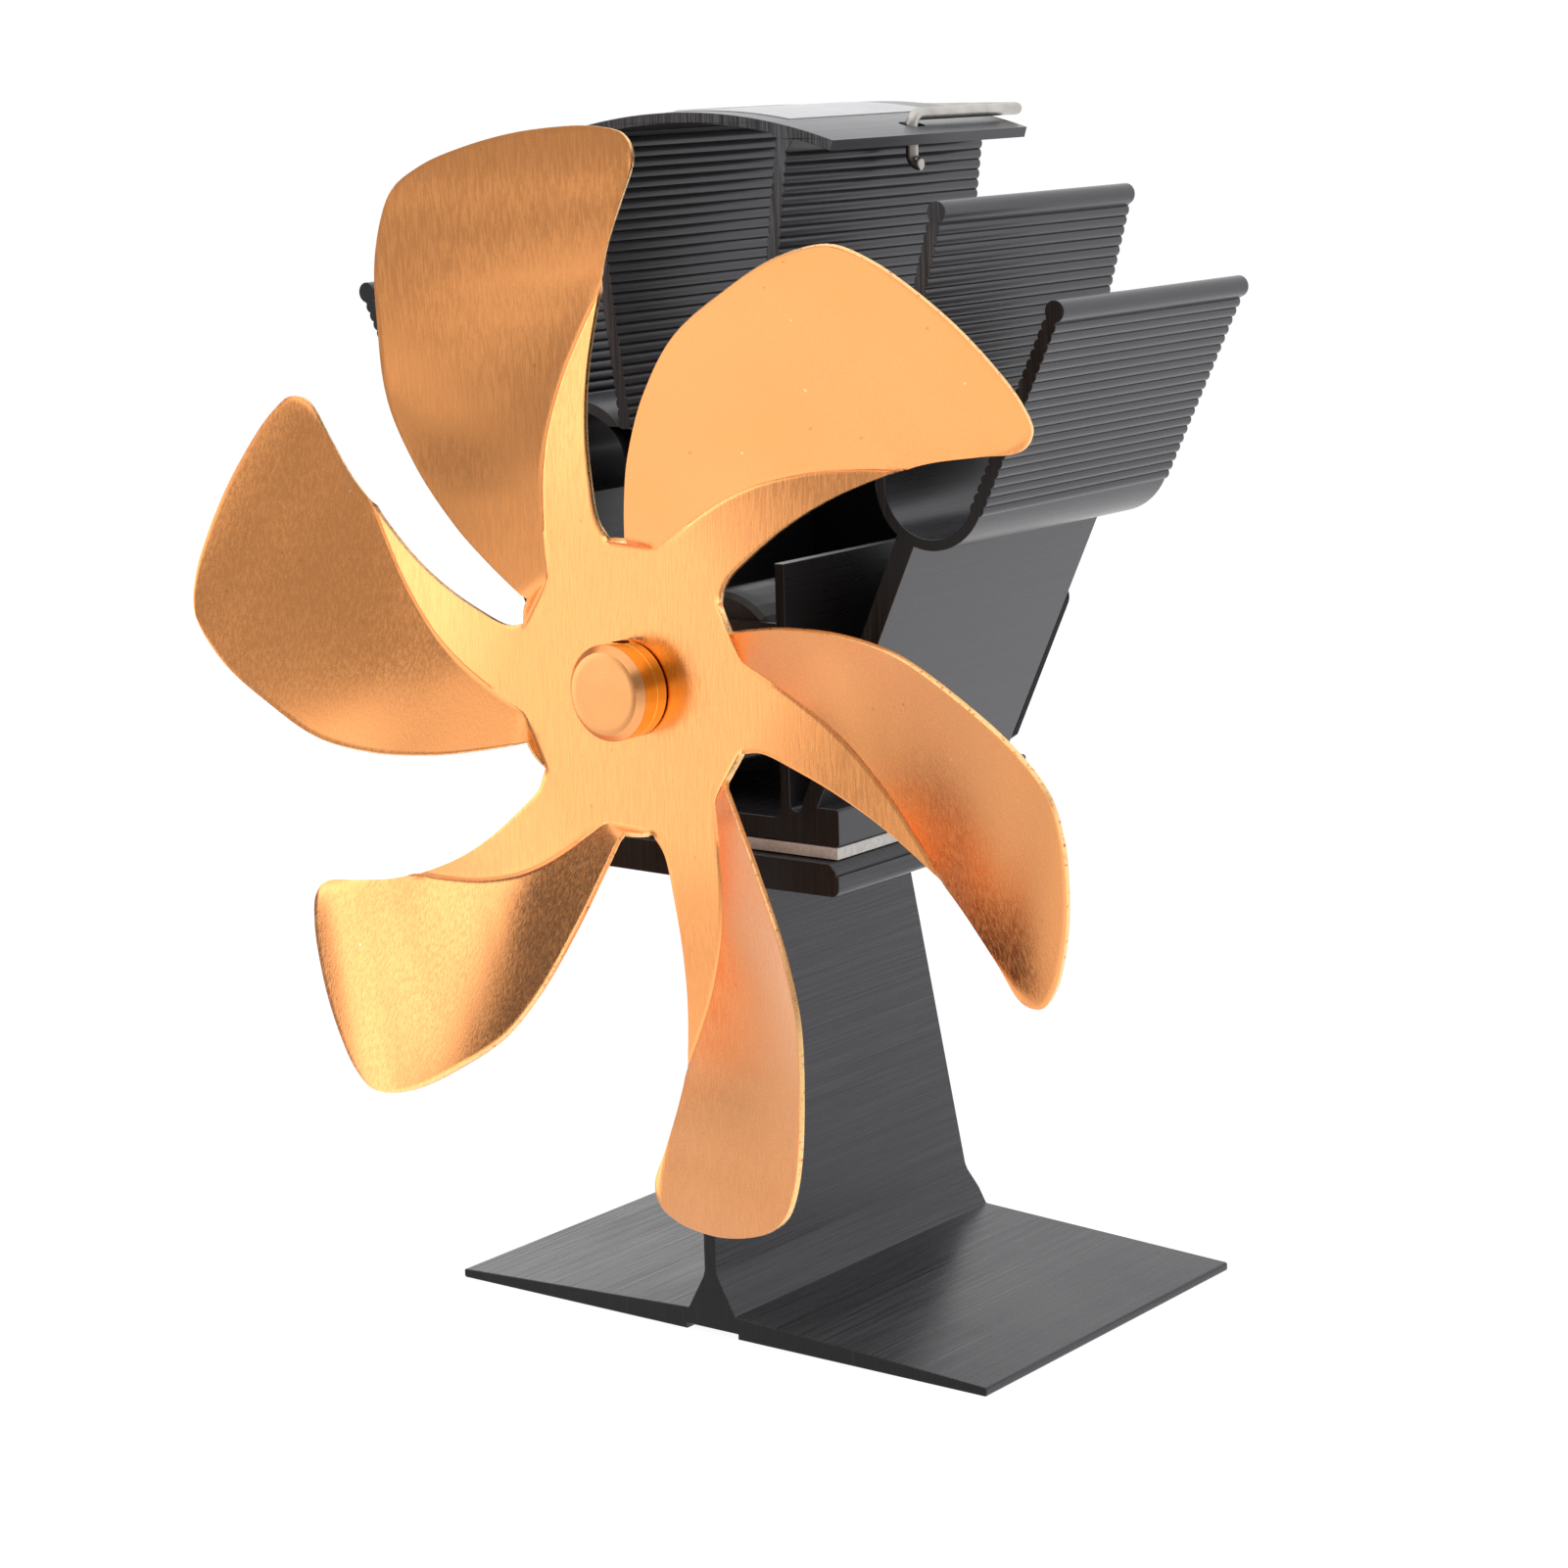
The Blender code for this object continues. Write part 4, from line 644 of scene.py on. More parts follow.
def fan_rise(u, w):
    """How far the sheet stands forwards of the disc. A whole blade falls back by up to FALL towards its end.
    Its arm curls back by CURL. Beyond the fold, a pressed line, the panel climbs by the pitch times the
    distance across, less a scoop of 4 s (1 - s), and near a notch it stands no higher than the lip."""
    across = w - crease_w(u)
    pitch = PITCH_ROOT + (PITCH_TIP - PITCH_ROOT) * smooth_rise(u, *PITCH_SPAN)
    softness = FOLD_SOFTNESS + TIP_SOFTNESS * smooth_rise(u, *SOFT_SPAN)
    lowered = 0.12 * softness * smooth_rise(u, 30 * MM, 60 * MM)
    panel = pitch * (soft_positive(across, softness) - lowered)
    share = panel_share(u, across)
    scooped = smooth_rise(u, *SCOOP_IN) * (1 - smooth_rise(u, *SCOOP_OUT))
    panel -= 4 * SCOOP * share * (1 - share) * scooped
    curled = np.clip((u - CURL_START) / CURL_LENGTH, 0, 1) ** 2 * (1 - smooth_rise(u, *CURL_OUT))
    panel -= CURL * curled * np.exp(-np.maximum(across, 0) / CURL_WIDTH)
    radius = np.hypot(u, w)
    pressed = smooth_rise(radius, NOTCH_RADIUS, NOTCH_RADIUS + 3 * MM) * (1 - smooth_rise(u, *GROOVE_OUT))
    panel -= GROOVE * pressed * np.exp(-(across / GROOVE_WIDTH) ** 2)
    lower = panel - soft_positive(panel - notch_lip(u, w), FOLD_SOFTNESS)
    near = np.where(radius < NOTCH_RADIUS + LIP_REACH, np.maximum(lower, 0), panel)
    return near - FALL * smooth_rise(u, NOTCH_RADIUS, FALL_END)


def blade_plan():
    """One blade's plan on a grid: ruled between its long edges, plus root arc and tip, less the corners'
    own blend. The fold runs along the middle of a narrow band of columns. Returns the grid and the angles
    at which the root starts and ends."""
    rows = FAN_ROWS
    outline = curve_through(BLADE_OUTLINE, SPAN_STEPS) * MM
    tip_start, tip_end = TIP_START * SPAN_STEPS, TIP_END * SPAN_STEPS
    concave = even_points(outline[:tip_start + 1], rows)
    convex = even_points(outline[:tip_end - 1:-1], rows)
    tip = even_points(outline[tip_start:tip_end + 1], TIP_STEPS)
    start, end = np.arctan2(concave[0, 1], concave[0, 0]), np.arctan2(convex[0, 1], convex[0, 0])
    row_share = np.linspace(0, 1, rows + 1)[:, None]

    def laid_out(shares):
        angle = start + (end - start) * shares
        root = NOTCH_RADIUS * np.stack([np.cos(angle), np.sin(angle)], -1)
        tip_share = np.linspace(0, 1, TIP_STEPS + 1)
        top = np.stack([np.interp(shares, tip_share, tip[:, k]) for k in (0, 1)], -1)
        out, s = row_share[..., None], shares[..., None]
        ruled = concave[:, None] * (1 - s) + convex[:, None] * s
        low = concave[0] * (1 - s) + convex[0] * s
        high = concave[-1] * (1 - s) + convex[-1] * s
        return ruled + root * (1 - out) + top * out - low * (1 - out) - high * out

    dense = laid_out(np.tile(np.linspace(0, 1, SEARCH_STEPS + 1), (rows + 1, 1)))
    behind_fold = dense[..., 1] < crease_w(dense[..., 0])
    fold = np.clip(behind_fold.mean(1), 0.02, 0.98)[:, None]
    band = np.minimum(FOLD_BAND, fold * 0.5)
    arm = np.linspace(0, 1, ARM_COLUMNS + 1)[:-1] * (fold - band)
    middle = fold - band + np.linspace(0, 1, BAND_COLUMNS + 1)[:-1] * 2 * band
    panel = fold + band + np.linspace(0, 1, PANEL_COLUMNS + 1) * (1 - fold - band)
    shares = np.concatenate([arm, middle, panel], 1)
    shares[:, -1] = 1
    plan = laid_out(shares)
    plan *= 1 - TIP_SHRINK * smooth_rise(np.linalg.norm(plan, axis=-1), *SHRINK_SPAN)[..., None]
    return plan, start, end


def pressed_fan(sheet_gold, rim_gold):
    """Disc and six blades as one surface: rings of the disc, and a blade grid on each of six root arcs,
    with the rise of fan_rise; Solidify gives the sheet and Bevel its broken edges."""
    plan, start, end = blade_plan()
    columns = plan.shape[1]
    root_angles = np.arctan2(plan[0, :, 1], plan[0, :, 0])
    gap = np.linspace(end, start + np.pi / 3, GAP_COLUMNS)[1:-1]
    local = np.concatenate([root_angles, gap])
    radii = np.concatenate([np.linspace(*INNER_RINGS), np.linspace(*OUTER_RINGS)])
    ring_u = radii[:, None] * np.cos(local)
    ring_w = radii[:, None] * np.sin(local)
    ring_rise = fan_rise(ring_u, ring_w)
    disc = np.stack([turned_to_blade(ring_u, ring_w, ring_rise, k) for k in range(6)], 1)
    points = [disc.reshape(-1, 3)]
    index = np.arange(len(points[0])).reshape(len(radii), -1)
    faces = [grid_faces(np.concatenate([index, index[:, :1]], 1))]
    total = len(points[0])
    rise = fan_rise(plan[..., 0], plan[..., 1])
    for k in range(6):
        own = turned_to_blade(plan[1:, :, 0], plan[1:, :, 1], rise[1:], k).reshape(-1, 3)
        grid = total + np.arange(len(own)).reshape(-1, columns)
        root = index[-1, k * len(local):k * len(local) + columns]
        faces.append(grid_faces(np.vstack([root[None, :], grid])))
        points.append(own)
        total += len(own)
    mesh = fill_mesh("fan_sheet", np.vstack(points), np.vstack(faces).tolist())
    fan = add_piece("fan_sheet", mesh, [sheet_gold, rim_gold], "rotor", ["fan_blades"], 40)
    wall = fan.modifiers.new("Sheet", "SOLIDIFY")
    wall.thickness, wall.offset, wall.use_even_offset = SHEET, 0, True
    wall.material_offset_rim = 1
    edge = fan.modifiers.new("Edge", "BEVEL")
    edge.width, edge.segments = 0.14 * MM, 2
    edge.limit_method, edge.angle_limit = "ANGLE", np.radians(60)


def turned_to_blade(u, w, rise, k):
    """Points (u, w) of one blade turned by t to blade k round the axis, standing in front of the disc:
    x = u cos t - w sin t, z = u sin t + w cos t."""
    t = np.radians(FIRST_BLADE + 60 * k)
    x, z = u * np.cos(t) - w * np.sin(t), u * np.sin(t) + w * np.cos(t)
    return np.stack([x, DISC_Y - rise, AXIS_Z + z], -1)


# The heat sink

SINK_FRONT = STAND_FRONT + 2.0 * MM
SINK_BACK = SINK_FRONT + 53.4 * MM
SINK_MID = (SINK_FRONT + SINK_BACK) / 2
SINK_Z, SHOULDER_Z, FLOOR_Z = 85.35 * MM, 91.3 * MM, 88.9 * MM
BLOCK_HALF, WALL_ROOT_X, WALL_SLOPE, WALL_THICKNESS = 27.3 * MM, 23.2 * MM, 0.455, 2.9 * MM
WEB_INNER_X, WEB_THICKNESS, WEB_TOP_Z = 15.9 * MM, 1.8 * MM, 129.8 * MM
CHANNEL = np.array([46.0, 143.7]) * MM
CHANNEL_OUTER, CHANNEL_INNER = 10.1 * MM, 8.35 * MM
OUTER_LEAN, OUTER_LENGTH = 25.6, 34.2 * MM
MIDDLE_LEAN, MIDDLE_LENGTH = 16.0, 40.2 * MM
BULB_RADIUS = 1.7 * MM
ARCH = np.array([24.9, 144.5]) * MM
ARCH_UNDER, ARCH_OVER = (10.9 * MM, 8.0 * MM), (12.4 * MM, 9.9 * MM)
INNER_FOOT, INNER_TOP = np.array([12.9, 145.6]) * MM, np.array([19.8, 197.2]) * MM
FIN_HALF, RIB_PITCH, RIB_HEIGHT = 0.88 * MM, 1.66 * MM, 0.42 * MM
TOP_RADIUS, TOP_Z, TOP_THICKNESS = 100.0 * MM, 200.1 * MM, 1.8 * MM
TOP_HALF = np.arcsin(0.294)
PANEL_RISE = 0.12 * MM
INNER_HEAD_Z = 195.2 * MM
SINK_EDGE_BREAK = 0.08 * MM

# Holes in it: the handle's slots, the clamp screws' and cover screws' bores, the bracket screws' holes
# through the webs, and the slot for the leads.
SLOT_X, HANDLE_LEG_Y = 24.3 * MM, SINK_FRONT + 28.0 * MM
SLOT_FRONT, SLOT_BACK, SLOT_HALF = HANDLE_LEG_Y - 1.0 * MM, HANDLE_LEG_Y + 1.2 * MM, 1.5 * MM
CLAMP_X, CLAMP_Y, CLAMP_BORE, CLAMP_BORE_TOP = 23.7 * MM, 19.5 * MM, 1.75 * MM, 90.2 * MM
COVER_SCREW_Z, COVER_SCREW_DEPTH, COVER_SCREW_BORE = (97.5 * MM, 116.0 * MM), 1.7 * MM, 0.85 * MM
BRACKET_SCREW_Y, BRACKET_SCREW_RISE, BRACKET_SCREW_BORE = SINK_FRONT + 2.6 * MM, 4.5 * MM, 1.1 * MM
LEAD_SLOT_X, LEAD_SLOT_Y, LEAD_SLOT_HALF = 3 * MM, SINK_MID + 20.2 * MM, 2.2 * MM


def bow(centre, radius, start, end, steps):
    """Points on an ellipse or circle: centre plus (a cos t, b sin t), t in degrees."""
    a, b = radius if isinstance(radius, tuple) else (radius, radius)
    t = np.radians(np.linspace(start, end, steps + 1))
    return np.stack([centre[0] + a * np.cos(t), centre[1] + b * np.sin(t)], 1)


def rib_line(start, end, side):
    """A fin face with rounded ribs on one side, each as high as h times sin(pi t) to the power 0.6."""
    start, end = np.array(start, float), np.array(end, float)
    count = int(round(np.linalg.norm(end - start) / RIB_PITCH))
    step = (end - start) / count
    out = np.array([-step[1], step[0]]) / np.linalg.norm(step) * side * RIB_HEIGHT
    t = np.array([0.0, 0.07, 0.2, 0.38, 0.5, 0.62, 0.8, 0.93])
    height = np.sin(np.pi * t) ** 0.6
    whole = np.arange(count)[:, None] + t[None, :]
    points = start + whole[..., None] * step + np.tile(height, (count, 1))[..., None] * out
    return np.vstack([points.reshape(-1, 2), end])


def fin_direction(lean):
    """Unit vector up a fin that leans from upright, and the one to its outer side."""
    a = np.radians(lean)
    return np.array([np.sin(a), np.cos(a)]), np.array([np.cos(a), -np.sin(a)])


def around_fin(root, lean, length, start_out, start_in):
    """Up a fin's outer face, round its bead and down its inner face."""
    up, side = fin_direction(lean)
    tip = root + up * length
    last = length - BULB_RADIUS
    spread = np.degrees(np.arcsin(FIN_HALF / BULB_RADIUS))
    down = -90 - lean
    bead = bow(tip, BULB_RADIUS, down + spread, down + 360 - spread, 28)
    out_face = rib_line(start_out, root + side * FIN_HALF + up * last, -1)
    in_face = rib_line(root - side * FIN_HALF + up * last, start_in, -1)
    return np.vstack([out_face, bead[1:-1], in_face])


def inner_face(side, z):
    """A point on the inner fin's left (-1) or right (1) face at a height."""
    across, up = INNER_TOP - INNER_FOOT
    return np.array([INNER_FOOT[0] + across * (z - INNER_FOOT[1]) / up + side * FIN_HALF, z])


def plate_bow(radius, start, end, steps):
    """Points along the arched plate, by angle in radians from its crest."""
    return bow((0, TOP_Z - TOP_RADIUS), radius, 90 - np.degrees(start), 90 - np.degrees(end), steps)


def sink_outside():
    """Right half of the section's outside, from the block's underside to the plate's crest."""
    middle_radius = (CHANNEL_OUTER + CHANNEL_INNER) / 2
    outer_root = bow(CHANNEL, middle_radius, -OUTER_LEAN, 0, 1)[0]
    middle_root = bow(CHANNEL, middle_radius, 180 - MIDDLE_LEAN, 0, 1)[0]
    under = bow(CHANNEL, CHANNEL_OUTER, -108, -OUTER_LEAN, 18)
    bowl = bow(CHANNEL, CHANNEL_INNER, -OUTER_LEAN, -180 - MIDDLE_LEAN, 32)
    over = bow(ARCH, ARCH_OVER, 22, 148, 22)
    up, _ = fin_direction(MIDDLE_LEAN)
    lean_cos = np.cos(np.radians(MIDDLE_LEAN))
    lift = (over[0, 1] - middle_root[1]) / lean_cos
    on_fin = middle_root - np.array([FIN_HALF / lean_cos, 0]) + up * lift
    plate_under = TOP_RADIUS - TOP_THICKNESS
    fillet = 1.5 * MM
    foot, head = inner_face(1, over[-1, 1]), inner_face(1, INNER_HEAD_Z - fillet)
    inner_x = inner_face(1, INNER_HEAD_Z)[0]
    soft = 0.35 * MM
    return np.vstack([
        [(BLOCK_HALF - 0.3 * MM, SINK_Z), (BLOCK_HALF, SINK_Z + 0.3 * MM), (BLOCK_HALF, SHOULDER_Z - soft),
         (BLOCK_HALF - soft, SHOULDER_Z), (WALL_ROOT_X, SHOULDER_Z)],
        under[:-1], around_fin(outer_root, OUTER_LEAN, OUTER_LENGTH, under[-1], bowl[0]), bowl[1:-1],
        around_fin(middle_root, MIDDLE_LEAN, MIDDLE_LENGTH, bowl[-1], on_fin), over[1:-1],
        rib_line(foot, head, -1),
        plate_bow(plate_under, np.arcsin((inner_x + fillet) / plate_under), TOP_HALF, 8),
        plate_bow(TOP_RADIUS - PANEL_RISE, TOP_HALF, 0, 28)])


def sink_inside():
    """Right half of the chamber: floor, motor web, splayed wall, arch, inner fin and plate."""
    fillet = 1.8 * MM
    web_out = WEB_INNER_X + WEB_THICKNESS
    pocket_z = 91.6 * MM
    pocket_x = WALL_ROOT_X + WALL_SLOPE * (pocket_z - SHOULDER_Z) - WALL_THICKNESS * np.hypot(1, WALL_SLOPE)
    pocket_mid = (web_out + pocket_x) / 2
    foot, top = inner_face(-1, ARCH[1] + 0.8 * MM), inner_face(-1, 195.8 * MM)
    plate_under = TOP_RADIUS - TOP_THICKNESS
    return np.vstack([
        bow((WEB_INNER_X - fillet, FLOOR_Z + fillet), fillet, -90, 0, 6),
        [(WEB_INNER_X, WEB_TOP_Z), (web_out, WEB_TOP_Z)],
        bow((pocket_mid, pocket_z), (pocket_mid - web_out, 1.4 * MM), 180, 360, 10),
        bow(CHANNEL, CHANNEL_OUTER, 232, 176, 14), bow(ARCH, ARCH_UNDER, 4, 176, 26),
        [(INNER_FOOT[0] - 0.3 * MM, ARCH[1] - 0.5 * MM)], rib_line(foot, top, 1),
        plate_bow(plate_under, np.arcsin((top[0] - 1.2 * MM) / plate_under), 0, 12)])


def both_halves(right):
    """Closes a right-hand outline with its mirror image, without doubling points on the middle line."""
    left = right[::-1] * np.array([-1, 1])
    return np.vstack([right, left[np.abs(left[:, 0]) > 1e-9]])


def round_knife(start, end, radius, steps=20):
    """A closed round bar between two points: the ring r (cos a, sin a) turned to face along the bar."""
    start, end = Vector(start), Vector(end)
    turn = (end - start).to_track_quat("Z", "Y").to_matrix()
    a = np.linspace(0, 2 * np.pi, steps, endpoint=False)
    ring = np.stack([radius * np.cos(a), radius * np.sin(a), 0 * a], 1) @ np.array(turn).T
    return closed_bar(ring + np.array(start), ring + np.array(end))


def upright_knife(loop, low, high):
    """A closed bar with an outline in X and Y, from one height to another."""
    return closed_bar(np.insert(loop, 2, low, axis=1), np.insert(loop, 2, high, axis=1))


def oblong(x, front, back, half):
    """An outline of a slot along Y."""
    return np.vstack([bow((x, back), half, 0, 180, 12), bow((x, front), half, 180, 360, 12)])


def clamp_points():
    """Where the four clamp screws stand, in X and Y."""
    return [(sx * CLAMP_X, SINK_MID + sy * CLAMP_Y) for sx in (-1, 1) for sy in (-1, 1)]


def drawn_sink(drawn, sawn):
    """The heat sink with its rounded ribs: the section carried along Y, less upright bars for the handle's
    slots and the leads, and round bars for the screws."""
    outlines = [both_halves(sink_outside()), both_halves(sink_inside())]
    mesh = drawn_section("heat_sink_section", outlines, SINK_FRONT, SINK_BACK, SINK_EDGE_BREAK)
    low, high = TOP_Z - 10 * MM, TOP_Z + 10 * MM
    knives = [upright_knife(oblong(side * SLOT_X, SLOT_FRONT, SLOT_BACK, SLOT_HALF), low, high)
              for side in (-1, 1)]
    for x, y in clamp_points():
        knives.append(round_knife((x, y, SINK_Z - 2 * MM), (x, y, CLAMP_BORE_TOP), CLAMP_BORE))
    start, end = SINK_BACK - 6 * MM, SINK_BACK + 2 * MM
    for z in COVER_SCREW_Z:
        x = WALL_ROOT_X + WALL_SLOPE * (z - SHOULDER_Z) - COVER_SCREW_DEPTH * np.hypot(1, WALL_SLOPE)
        knives += [round_knife((sx, start, z), (sx, end, z), COVER_SCREW_BORE) for sx in (-x, x)]
    y = BRACKET_SCREW_Y
    for side in (-1, 1):
        near, far = side * (WEB_INNER_X - 1 * MM), side * (WEB_INNER_X + WEB_THICKNESS + 1 * MM)
        for z in (AXIS_Z - BRACKET_SCREW_RISE, AXIS_Z + BRACKET_SCREW_RISE):
            knives.append(round_knife((near, y, z), (far, y, z), BRACKET_SCREW_BORE))
    slot = np.vstack([bow((LEAD_SLOT_X, LEAD_SLOT_Y), LEAD_SLOT_HALF, -90, 90, 10),
                      bow((-LEAD_SLOT_X, LEAD_SLOT_Y), LEAD_SLOT_HALF, 90, 270, 10)])
    knives.append(upright_knife(slot, FLOOR_Z - 8 * MM, FLOOR_Z + 4 * MM))
    mesh = cut_mesh(mesh, knives)
    add_piece("heat_sink_section", mesh, [drawn, sawn], "frame", ["heat_sink"], 24)


# The stand

BASE_DEPTH, BASE_WIDTH, BASE_EDGE, BASE_CHAMFER = 74.0 * MM, 110.0 * MM, 1.5 * MM, 0.4 * MM
GROOVE_HALF, GROOVE_DEPTH = 5.4 * MM, 0.9 * MM
ROOT_HALF, ROOT_Z, FLARE_TOP_Z, STEM_HALF = 4.9 * MM, 3.8 * MM, 10.3 * MM, 1.25 * MM
PLATFORM_HALF, PLATFORM_Z, PLATFORM_CORNER = 28.5 * MM, 77.4 * MM, 1.5 * MM
SIDE_GROOVE_Z, SIDE_GROOVE = 81.0 * MM, 0.5 * MM
PAD_HALF, PAD_Z = 26.6 * MM, 82.9 * MM
STAND_EDGE_BREAK, STEM_FILLET = 0.12 * MM, 2.0 * MM
COUNTERBORE, COUNTERBORE_TOP, BUSH_BORE = 3.3 * MM, 81.2 * MM, 2.6 * MM


def stand_section():
    """Right half of the stand's section: grooved foot, tapered base, flare, stem, platform and pad."""
    half, fillet = BASE_WIDTH / 2, STEM_FILLET
    c, e = BASE_CHAMFER, BASE_EDGE
    corner = (PLATFORM_HALF - PLATFORM_CORNER, PLATFORM_Z + 0.15 * MM + PLATFORM_CORNER)
    flare = curve_through([(ROOT_HALF + 0.6 * MM, ROOT_Z - 0.03 * MM), (ROOT_HALF, ROOT_Z + 0.05 * MM),
                           (ROOT_HALF - 0.35 * MM, ROOT_Z + 0.6 * MM)], 4)
    return np.vstack([
        [(GROOVE_HALF, GROOVE_DEPTH), (GROOVE_HALF, 0), (half - c, 0)],
        bow((half - c, c), c, -90, 0, 4)[1:], bow((half - c, e - c), c, 0, 90, 4),
        flare, [(STEM_HALF + 0.3 * MM, FLARE_TOP_Z - 0.5 * MM), (STEM_HALF, FLARE_TOP_Z + 0.6 * MM)],
        bow((STEM_HALF + fillet, PLATFORM_Z - fillet), fillet, 180, 90, 8),
        bow(corner, PLATFORM_CORNER, -90, 0, 8),
        [(PLATFORM_HALF, SIDE_GROOVE_Z), (PLATFORM_HALF - SIDE_GROOVE, SIDE_GROOVE_Z),
         (PLATFORM_HALF - SIDE_GROOVE, SIDE_GROOVE_Z + SIDE_GROOVE),
         (PAD_HALF + 0.3 * MM, PAD_Z - 0.25 * MM), (PAD_HALF, PAD_Z)]])


def drawn_stand(brushed, sawn):
    """The stand: its section carried along Y, less a wedge that cuts the stem back on a slant to the
    platform's length, and round bars for the clamp screws' counterbores and bushes."""
    back = STAND_FRONT + BASE_DEPTH
    outline = both_halves(stand_section())
    mesh = drawn_section("stand_section", [outline], STAND_FRONT, back, STAND_EDGE_BREAK)
    foot, top = np.array([back - 1.1 * MM, FLARE_TOP_Z]), np.array([SINK_BACK, PLATFORM_Z - 0.6 * MM])
    start = foot + (foot - top) / np.linalg.norm(foot - top) * 6 * MM
    beyond, over = back + 5 * MM, PAD_Z + 5 * MM
    slant = np.array([start, (beyond, start[1]), (beyond, over), (SINK_BACK, over), top])
    knives = [closed_bar(*(np.insert(slant, 0, x, axis=1) for x in (-BASE_WIDTH / 2, BASE_WIDTH / 2)))]
    for low, high, bore in ((PLATFORM_Z - 5 * MM, COUNTERBORE_TOP, COUNTERBORE),
                            (PLATFORM_Z - 3 * MM, over, BUSH_BORE)):
        knives += [round_knife((x, y, low), (x, y, high), bore) for x, y in clamp_points()]
    mesh = cut_mesh(mesh, knives)
    add_piece("stand_section", mesh, [brushed, sawn], "frame", ["stand"], 24)


# Hub, handle and panel

HUB_FRONT = STAND_FRONT - 22.0 * MM
HUB_RADIUS, SPIGOT_RADIUS, SPIGOT_LENGTH = 7.7 * MM, 4.4 * MM, 2.4 * MM
HUB_CHAMFER, HUB_SEAM, HUB_SEAM_AT = 1.15 * MM, 0.05 * MM, 4.0 * MM
HUB_BORE, HUB_BORE_START = 1.45 * MM, 2.0 * MM
GRUB_Y, GRUB_BORE = HUB_FRONT + 4.6 * MM, 1.5 * MM
WIRE, HANDLE_BEND, HANDLE_SPLAY, HANDLE_GAP = 1.0 * MM, 2.0 * MM, 0.6 * MM, 0.3 * MM
HOOK_LENGTH, HOOK_BEND, HOOK_DROP = 1.8 * MM, 1.5 * MM, 4.5 * MM
HANDLE_BAR_Y = SINK_BACK + 4.9 * MM
PANEL_HALF, PANEL_FRONT, PANEL_BACK, PANEL_DEPTH = 16.6 * MM, -15.5 * MM, 23.5 * MM, 0.3 * MM


def turned_hub(face_gold, barrel_gold):
    """The hub: a turned cap with broken edges, a parting line round its barrel, and the spigot behind. Its
    profile of radius and distance behind the front face is turned round the fan's axis."""
    length = DISC_Y - SHEET / 2 - 0.3 * MM - HUB_FRONT
    spigot = DISC_Y + SHEET / 2 + SPIGOT_LENGTH - HUB_FRONT
    c, r, seam, line = HUB_CHAMFER, HUB_RADIUS, HUB_SEAM, HUB_SEAM_AT
    profile = [(0, 0), (r * 0.35, 0), (r * 0.7, 0), (r - c - 0.1 * MM, 0), (r - c, 0.03 * MM),
               (r - 0.04 * MM, c - 0.06 * MM), (r, c + 0.08 * MM), (r, line - seam), (r - seam, line),
               (r, line + seam), (r, length - 0.15 * MM), (r - 0.15 * MM, length), (SPIGOT_RADIUS, length),
               (SPIGOT_RADIUS, spigot), (HUB_BORE, spigot), (HUB_BORE, HUB_BORE_START), (0, HUB_BORE_START)]
    points, faces = ring_surface(profile, 96)
    mesh = face_outwards(fill_mesh("hub_cap", points + np.array([0, HUB_FRONT, AXIS_Z]), faces))
    behind = np.array([p.center.y for p in mesh.polygons]) - HUB_FRONT
    mesh.polygons.foreach_set("material_index", (behind > 1.05 * c).astype(np.int32))
    knife = round_knife((0, GRUB_Y, AXIS_Z), (0, GRUB_Y, AXIS_Z + HUB_RADIUS + 2 * MM), GRUB_BORE, 24)
    mesh = cut_mesh(mesh, [knife])
    add_piece("hub_cap", mesh, [face_gold, barrel_gold], "rotor", ["hub"], 24)


def rounded_path(corners, radii, steps):
    """A polyline with each inner corner rounded by c + (s - c) cos t + (e - c) sin t, from s on the leg
    before it to e on the leg after it, where c makes a rhomb with the corner, s and e."""
    path = [corners[0]]
    for before, corner, after, radius in zip(corners, corners[1:], corners[2:], radii):
        a = (before - corner) / np.linalg.norm(before - corner)
        b = (after - corner) / np.linalg.norm(after - corner)
        start, end = corner + a * radius, corner + b * radius
        centre = start + b * radius
        t = np.linspace(0, np.pi / 2, steps + 1)[:, None]
        path.append(centre + (start - centre) * np.cos(t) + (end - centre) * np.sin(t))
    return np.vstack(path + [corners[-1]])


def wire_handle(steel):
    """The bail: hooks turned outwards, legs through the slots, arms along the plate and a bar behind."""
    plate_top = TOP_Z - TOP_RADIUS + np.sqrt(TOP_RADIUS ** 2 - SLOT_X ** 2)
    under = TOP_RADIUS - TOP_THICKNESS
    plate_under = TOP_Z - TOP_RADIUS + np.sqrt(under ** 2 - SLOT_X ** 2)
    rest_z = plate_top + (WIRE + HANDLE_GAP) / np.sqrt(1 - (SLOT_X / TOP_RADIUS) ** 2)
    hook_z = plate_under - HOOK_DROP
    bar_x = SLOT_X + HANDLE_SPLAY
    right = np.array([(SLOT_X + HOOK_LENGTH, HANDLE_LEG_Y, hook_z), (SLOT_X, HANDLE_LEG_Y, hook_z),
                      (SLOT_X, HANDLE_LEG_Y, rest_z + 0.1 * MM), (bar_x, HANDLE_BAR_Y, rest_z),
                      (0, HANDLE_BAR_Y, rest_z)])
    half = rounded_path(right, (HOOK_BEND, HANDLE_BEND, HANDLE_BEND), 12)
    path = np.vstack([half, half[-2::-1] * np.array([-1, 1, 1])])
    points, faces = round_wire(path, WIRE, 24)
    mesh = face_outwards(fill_mesh("wire_bail", points, faces))
    add_piece("wire_bail", mesh, [steel], "handle", ["bail_handle"], 40)


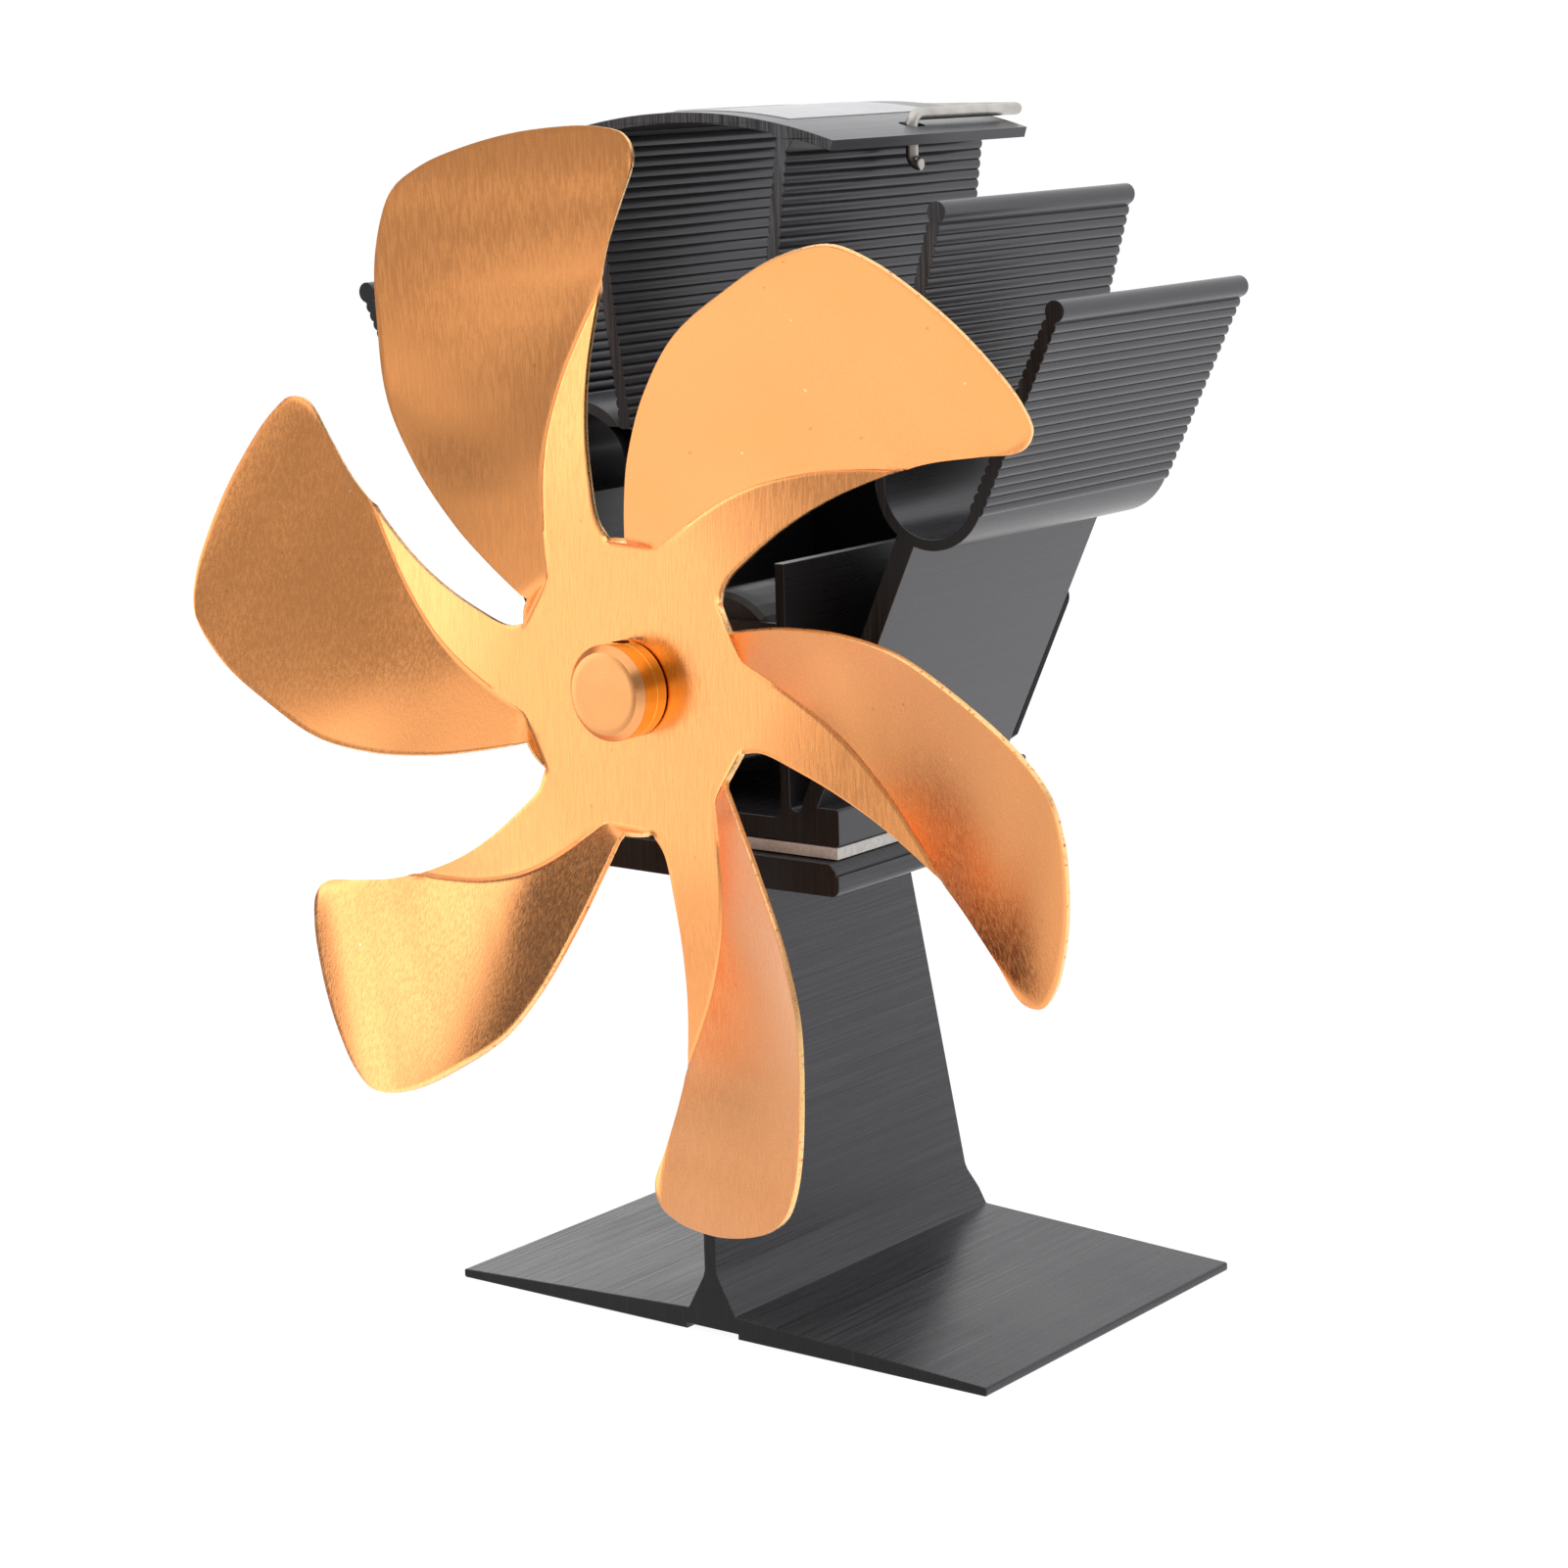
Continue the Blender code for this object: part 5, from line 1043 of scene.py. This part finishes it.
def bare_panel(pale):
    """The thin bare panel let into the arched plate: a grid in X and Y with z = crest - R + the root of
    (R + h)^2 - xx, h being 0 for its top and below 0 for its underside, inside the plate."""
    gx, gy = np.meshgrid(np.linspace(-PANEL_HALF, PANEL_HALF, 41), np.linspace(PANEL_FRONT, PANEL_BACK, 25))
    layers = []
    for height in (-PANEL_DEPTH, 0):
        drop = np.sqrt((TOP_RADIUS + height) ** 2 - gx ** 2)
        layers.append(np.stack([gx, gy, TOP_Z - TOP_RADIUS + drop], -1).reshape(-1, 3))
    index = np.arange(gx.size).reshape(gx.shape)
    count = gx.size
    edge = np.concatenate([index[0, :-1], index[:-1, -1], index[-1, :0:-1], index[:0:-1, 0]])
    rim = np.stack([edge, np.roll(edge, -1), np.roll(edge, -1) + count, edge + count], 1)
    faces = np.vstack([grid_faces(index), grid_faces(index) + count, rim])
    mesh = face_outwards(fill_mesh("top_panel", np.vstack(layers), faces.tolist()))
    add_piece("top_panel", mesh, [pale], "frame", (), 30)


# The whole fan

# Finishes of the pieces that keep their own solids: two tones, roughness, what else differs, and the names.
SMALL_PIECES = [
    ("plain_steel", (0.62, 0.60, 0.57), (0.45, 0.43, 0.41), 0.32, {"metallic": 1.0, "scale": 700},
     ("clamp_screw", "spring_washer", "motor_shaft")),
    ("gasket_board", (0.66, 0.65, 0.63), (0.52, 0.51, 0.49), 0.62, {"scale": 1400, "bump": 0.35},
     ("insulating_gasket",)),
    ("module_ceramic", (0.86, 0.86, 0.84), (0.76, 0.76, 0.73), 0.5, {}, ("thermoelectric_module",)),
    ("black_nylon", (0.035, 0.035, 0.036), (0.018, 0.018, 0.019), 0.5, {},
     ("insulating_bush", "motor_end_cap")),
    ("dark_screw", (0.045, 0.043, 0.042), (0.016, 0.016, 0.016), 0.36, {"metallic": 0.9},
     ("cover_screw", "grub_screw")),
    ("dark_can", (0.020, 0.019, 0.019), (0.008, 0.008, 0.008), 0.45, {"metallic": 0.2},
     ("motor_can", "motor_bracket")),
    ("bronze_bush", (0.55, 0.36, 0.19), (0.36, 0.22, 0.11), 0.5, {"metallic": 1.0},
     ("motor_front_bush", "motor_rear_bush")),
    ("bright_brass", (0.80, 0.60, 0.28), (0.62, 0.44, 0.18), 0.3, {"metallic": 1.0},
     ("motor_terminal", "motor_face_screw", "bracket_screw", "motor_commutator")),
    ("ferrite", (0.05, 0.05, 0.052), (0.025, 0.025, 0.027), 0.6, {}, ("motor_magnet",)),
    ("wound_copper", (0.72, 0.30, 0.14), (0.42, 0.15, 0.07), 0.35,
     {"metallic": 1.0, "scale": 500, "bump": 0.5, "stretch": (1, 6, 1)}, ("motor_armature",)),
    ("red_sleeve", (0.55, 0.02, 0.02), (0.40, 0.01, 0.01), 0.42, {}, ("red_lead",)),
    ("black_sleeve", (0.035, 0.035, 0.035), (0.02, 0.02, 0.02), 0.42, {}, ("black_lead",))]


def dress(finish, *names):
    """Gives a finish to the solids whose names begin so."""
    for name, node in NODES.items():
        if name.startswith(names):
            for entry in node.material_slots:
                entry.material = finish


def make_all():
    """Camera, studio, the finishes of the solids that stay, and the fine pieces for the other solids."""
    photo_camera()
    white_studio()
    drawn, sawn, brushed, wire = black_drawn(), black_sawn(), black_brushed(), drawn_wire()
    for name, light, dark, rough, others, pieces in SMALL_PIECES:
        dress(fine_finish(name, light, dark, rough, **others), *pieces)
    dress(black_drawn("black_sheet", 0.008, 0.50, 0.62, 0.3, 0.10), "back_cover")
    barrel = gold_turned("gold_barrel", (0.98, 0.60, 0.13), (0.90, 0.50, 0.09), False, 0.14, 0.20)
    # Painted shade: the turned face's tones are darker and pinker than the barrel's, standing in for the
    # wider spread of reflection off its rings.
    face = gold_turned("gold_face", (0.84, 0.38, 0.145), (0.72, 0.31, 0.11), True, 0.24, 0.32)
    dress(barrel, "hub_collar")
    pressed_fan(gold_sheet(), gold_rim())
    drawn_sink(drawn, sawn)
    drawn_stand(brushed, sawn)
    turned_hub(face, barrel)
    wire_handle(wire)
    pale = fine_finish("pale_panel", (0.46, 0.46, 0.48), (0.42, 0.42, 0.44), 0.42, scale=500, bump=0.05)
    bare_panel(pale)


make_all()
